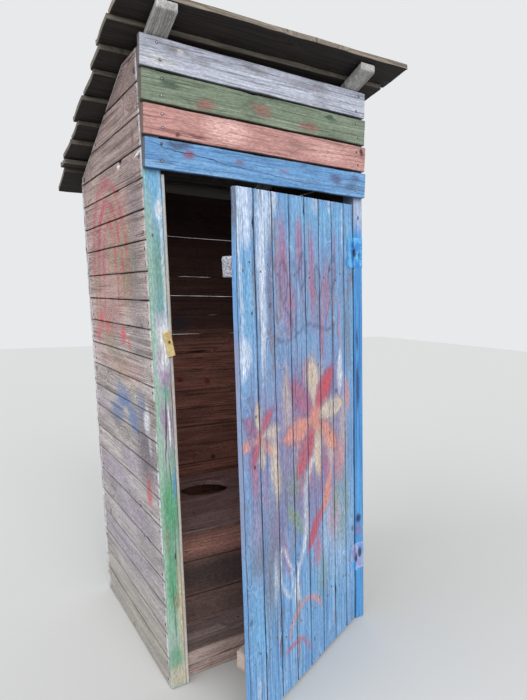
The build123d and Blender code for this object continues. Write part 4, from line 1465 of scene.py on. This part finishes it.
def nail_door(steel):
    """Two nails through every door board into each ledge."""
    low, high = upright_box("door_boards", unswung)
    places = []
    for node in ("door_top_ledge", "door_bottom_ledge"):
        bottom, top = (corner[2] for corner in upright_box(node, unswung))
        for left, right in rows_between(low[0], high[0], DOOR_JOINTS, DOOR_GAPS):
            for share, up in ((0.3, 0.3), (0.7, 0.72)):
                x = left + share * (right - left) + jitter(0.006)
                places.append((x, low[1], bottom + up * (top - bottom) + jitter(0.005)))
    make_nails("door_nails", places, (0, -1, 0), steel, "door", swung, 0.0030)


def screw_hinges(paint):
    """Three painted screw heads in each leaf of the two hinges."""
    for node in ("top_hinge", "bottom_hinge"):
        low, high = upright_box(node + "_post_leaf")
        middle = (low[2] + high[2]) / 2
        face = high[1] - 0.0025
        for leaf, sign, body, place in (("post", 1, "hut", leaned), ("door", -1, "door", swung)):
            places = [(HINGE_X + sign * reach, face, middle + rise)
                      for reach, rise in ((0.034, -0.048), (0.030, 0.0), (0.034, 0.048))]
            make_nails(node + "_" + leaf + "_screws", places, (0, -1, 0), paint, body, place, 0.0040)


def make_turn_button(material):
    """The strand board turn-button with eased edges, in the place of its node."""
    button = plank(*edges_of("turn_button"), ease=0.001, wander=0.0004, ragged=0.0006)
    make_piece("turn_button_board", [button], material, "button", ("turn_button",))


def dress_metal(hinge_paint, screw_steel):
    """Gives the hinges and the screw of the turn-button their finish."""
    for node, piece in frame["nodes"].items():
        if "hinge" in node or node == "turn_button_screw":
            piece.data.materials.clear()
            piece.data.materials.append(hinge_paint if "hinge" in node else screw_steel)


# Marks on the bench front: a pale band along the top, painted shade as dark bands below it that lighten
# towards the floor, and two orange streaks.
RISER_MARKS = (
    (rgb(178, 128, 116), ((0.10, 0.445, 0.60, 0.05, 0, 0.8),)),
    (rgb(74, 66, 65), ((0.0, 0.305, 0.6, 0.075, 0, 0.95),)),
    (rgb(112, 96, 92), ((0.0, 0.16, 0.6, 0.06, 0, 0.8),)),
    (rgb(196, 112, 78), ((0.24, 0.44, 0.006, 0.05, 0, 0.7), (0.28, 0.45, 0.005, 0.05, 0, 0.6))),
)


def make_outhouse():
    """All pieces of the building, from the walls to the nails."""
    plain_planks = weathered_material("plain_wall_planks")
    frame_wood = plain_wood_material("frame_timber", rgb(150, 136, 124), rgb(96, 82, 72), GREY_DEEP)
    interior_wood = plain_wood_material("interior_planks", rgb(190, 156, 152), rgb(132, 106, 104), BROWN_DEEP)
    riser_wood = plain_wood_material("seat_front_planks", rgb(162, 122, 112), rgb(112, 82, 74), BROWN_DEEP,
                                     marks=RISER_MARKS)
    floor_wood = plain_wood_material("floor_planks", rgb(172, 152, 148), rgb(122, 104, 102), rgb(44, 36, 34))
    sill_wood = plain_wood_material("sill_timber", rgb(208, 188, 182), rgb(158, 132, 122), rgb(80, 62, 54))
    rafter_wood = plain_wood_material("rafter_timber", rgb(218, 216, 214), rgb(156, 154, 152), GREY_DEEP, 0.1,
                                      knots=0.2)
    ledge_wood = ledge_material()
    left_post_paint = left_post_material()
    nail_steel = nail_material()
    hinge_paint = hinge_material()
    make_side_wall("left_wall", weathered_material("left_wall_planks", LEFT_WALL_MARKS),
                   {18: ((0.243, "high", 0.014, 0.016),), 17: ((0.30, "high", 0.02, 0.004),)},
                   spray_left_wall)
    make_side_wall("right_wall", plain_planks, {})
    make_back_wall(weathered_material("back_wall_planks", (), BACK_WALL_INSIDE_MARKS))
    make_headers()
    make_post("left_front_post", left_post_paint, True, spray_left_post)
    make_post("right_front_post", right_post_material(), True)
    make_post("left_back_post", frame_wood, False)
    make_post("right_back_post", frame_wood, False)
    make_frame_timbers(frame_wood, floor_wood, sill_wood, interior_wood, left_post_paint)
    make_roof(rafter_wood, roof_material("front_roof_board", rgb(156, 144, 132), rgb(100, 90, 80)),
              roof_material("roof_boards", rgb(126, 119, 108), rgb(80, 73, 65)))
    make_door(door_material(), ledge_wood)
    make_seat(interior_wood, riser_wood)
    make_turn_button(strand_board_material())
    nail_side_walls(nail_steel)
    nail_back_wall(nail_steel)
    nail_headers(nail_steel)
    nail_roof(nail_steel)
    nail_door(nail_steel)
    screw_hinges(hinge_paint)
    dress_metal(hinge_paint, screw_material())


# Floor, light and camera


def make_stage():
    """A plain pale floor, a little darker in the light that it bounces up the walls."""
    size = 14.0
    mesh = bpy.data.meshes.new("floor_plane")
    corners = [(-size, -size, -0.0005), (size, -size, -0.0005), (size, size, -0.0005), (-size, size, -0.0005)]
    mesh.from_pydata(corners, [], [(0, 1, 2, 3)])
    shader = new_material("floor_plane")
    colour = shader.mix(rgb(150, 148, 142), rgb(206, 206, 204), shader.seen_directly())
    mesh.materials.append(shader.finish(colour, 0.9))
    floor = bpy.data.objects.new("floor_plane", mesh)
    bpy.context.scene.collection.objects.link(floor)


def make_world(strength):
    """An even pale sky: what the camera sees is a plain light grey, and the light is softer."""
    world = bpy.data.worlds.new("sky")
    bpy.context.scene.world = world
    shader = Shader(world)
    light = shader.node("ShaderNodeBackground", None, {"Color": (0.94, 0.97, 1.0, 1.0), "Strength": strength})
    plain = shader.node("ShaderNodeBackground", None, {"Color": rgb(232, 233, 235), "Strength": 1.0})
    both = shader.node("ShaderNodeMixShader", None, {0: shader.seen_directly(), 1: light, 2: plain})
    shader.node("ShaderNodeOutputWorld", None, {"Surface": both})


def make_sun(name, place, strength, spread=50):
    """A wide soft light that shines from the direction of the place towards the origin."""
    data = bpy.data.lights.new(name, "SUN")
    data.energy = strength
    data.angle = math.radians(spread)
    lamp = bpy.data.objects.new(name, data)
    lamp.rotation_mode = "QUATERNION"
    lamp.rotation_quaternion = (-Vector(place)).to_track_quat("-Z", "Y")
    lamp.location = place
    bpy.context.scene.collection.objects.link(lamp)


def make_camera():
    """The photograph's camera: the same place, direction, roll and angle of view."""
    data = bpy.data.cameras.new("camera")
    data.sensor_width = SENSOR_SIZE
    data.lens = SENSOR_SIZE * FOCAL_PIXELS / PHOTO_HEIGHT
    camera = bpy.data.objects.new("camera", data)
    turn = Matrix.Rotation(-CAMERA_YAW, 4, "Z") @ Matrix.Rotation(math.pi / 2 + CAMERA_PITCH, 4, "X")
    camera.matrix_world = Matrix.Translation(CAMERA_PLACE) @ turn @ Matrix.Rotation(CAMERA_ROLL, 4, "Z")
    bpy.context.scene.collection.objects.link(camera)
    bpy.context.scene.camera = camera


make_outhouse()
make_stage()
make_world(0.75)
make_sun("front_sky", (-0.8, -3.0, 1.7), 1.7)
make_sun("side_sky", (-3.0, -0.2, 1.6), 1.2)
make_camera()
bpy.context.scene.view_settings.view_transform = "Standard"
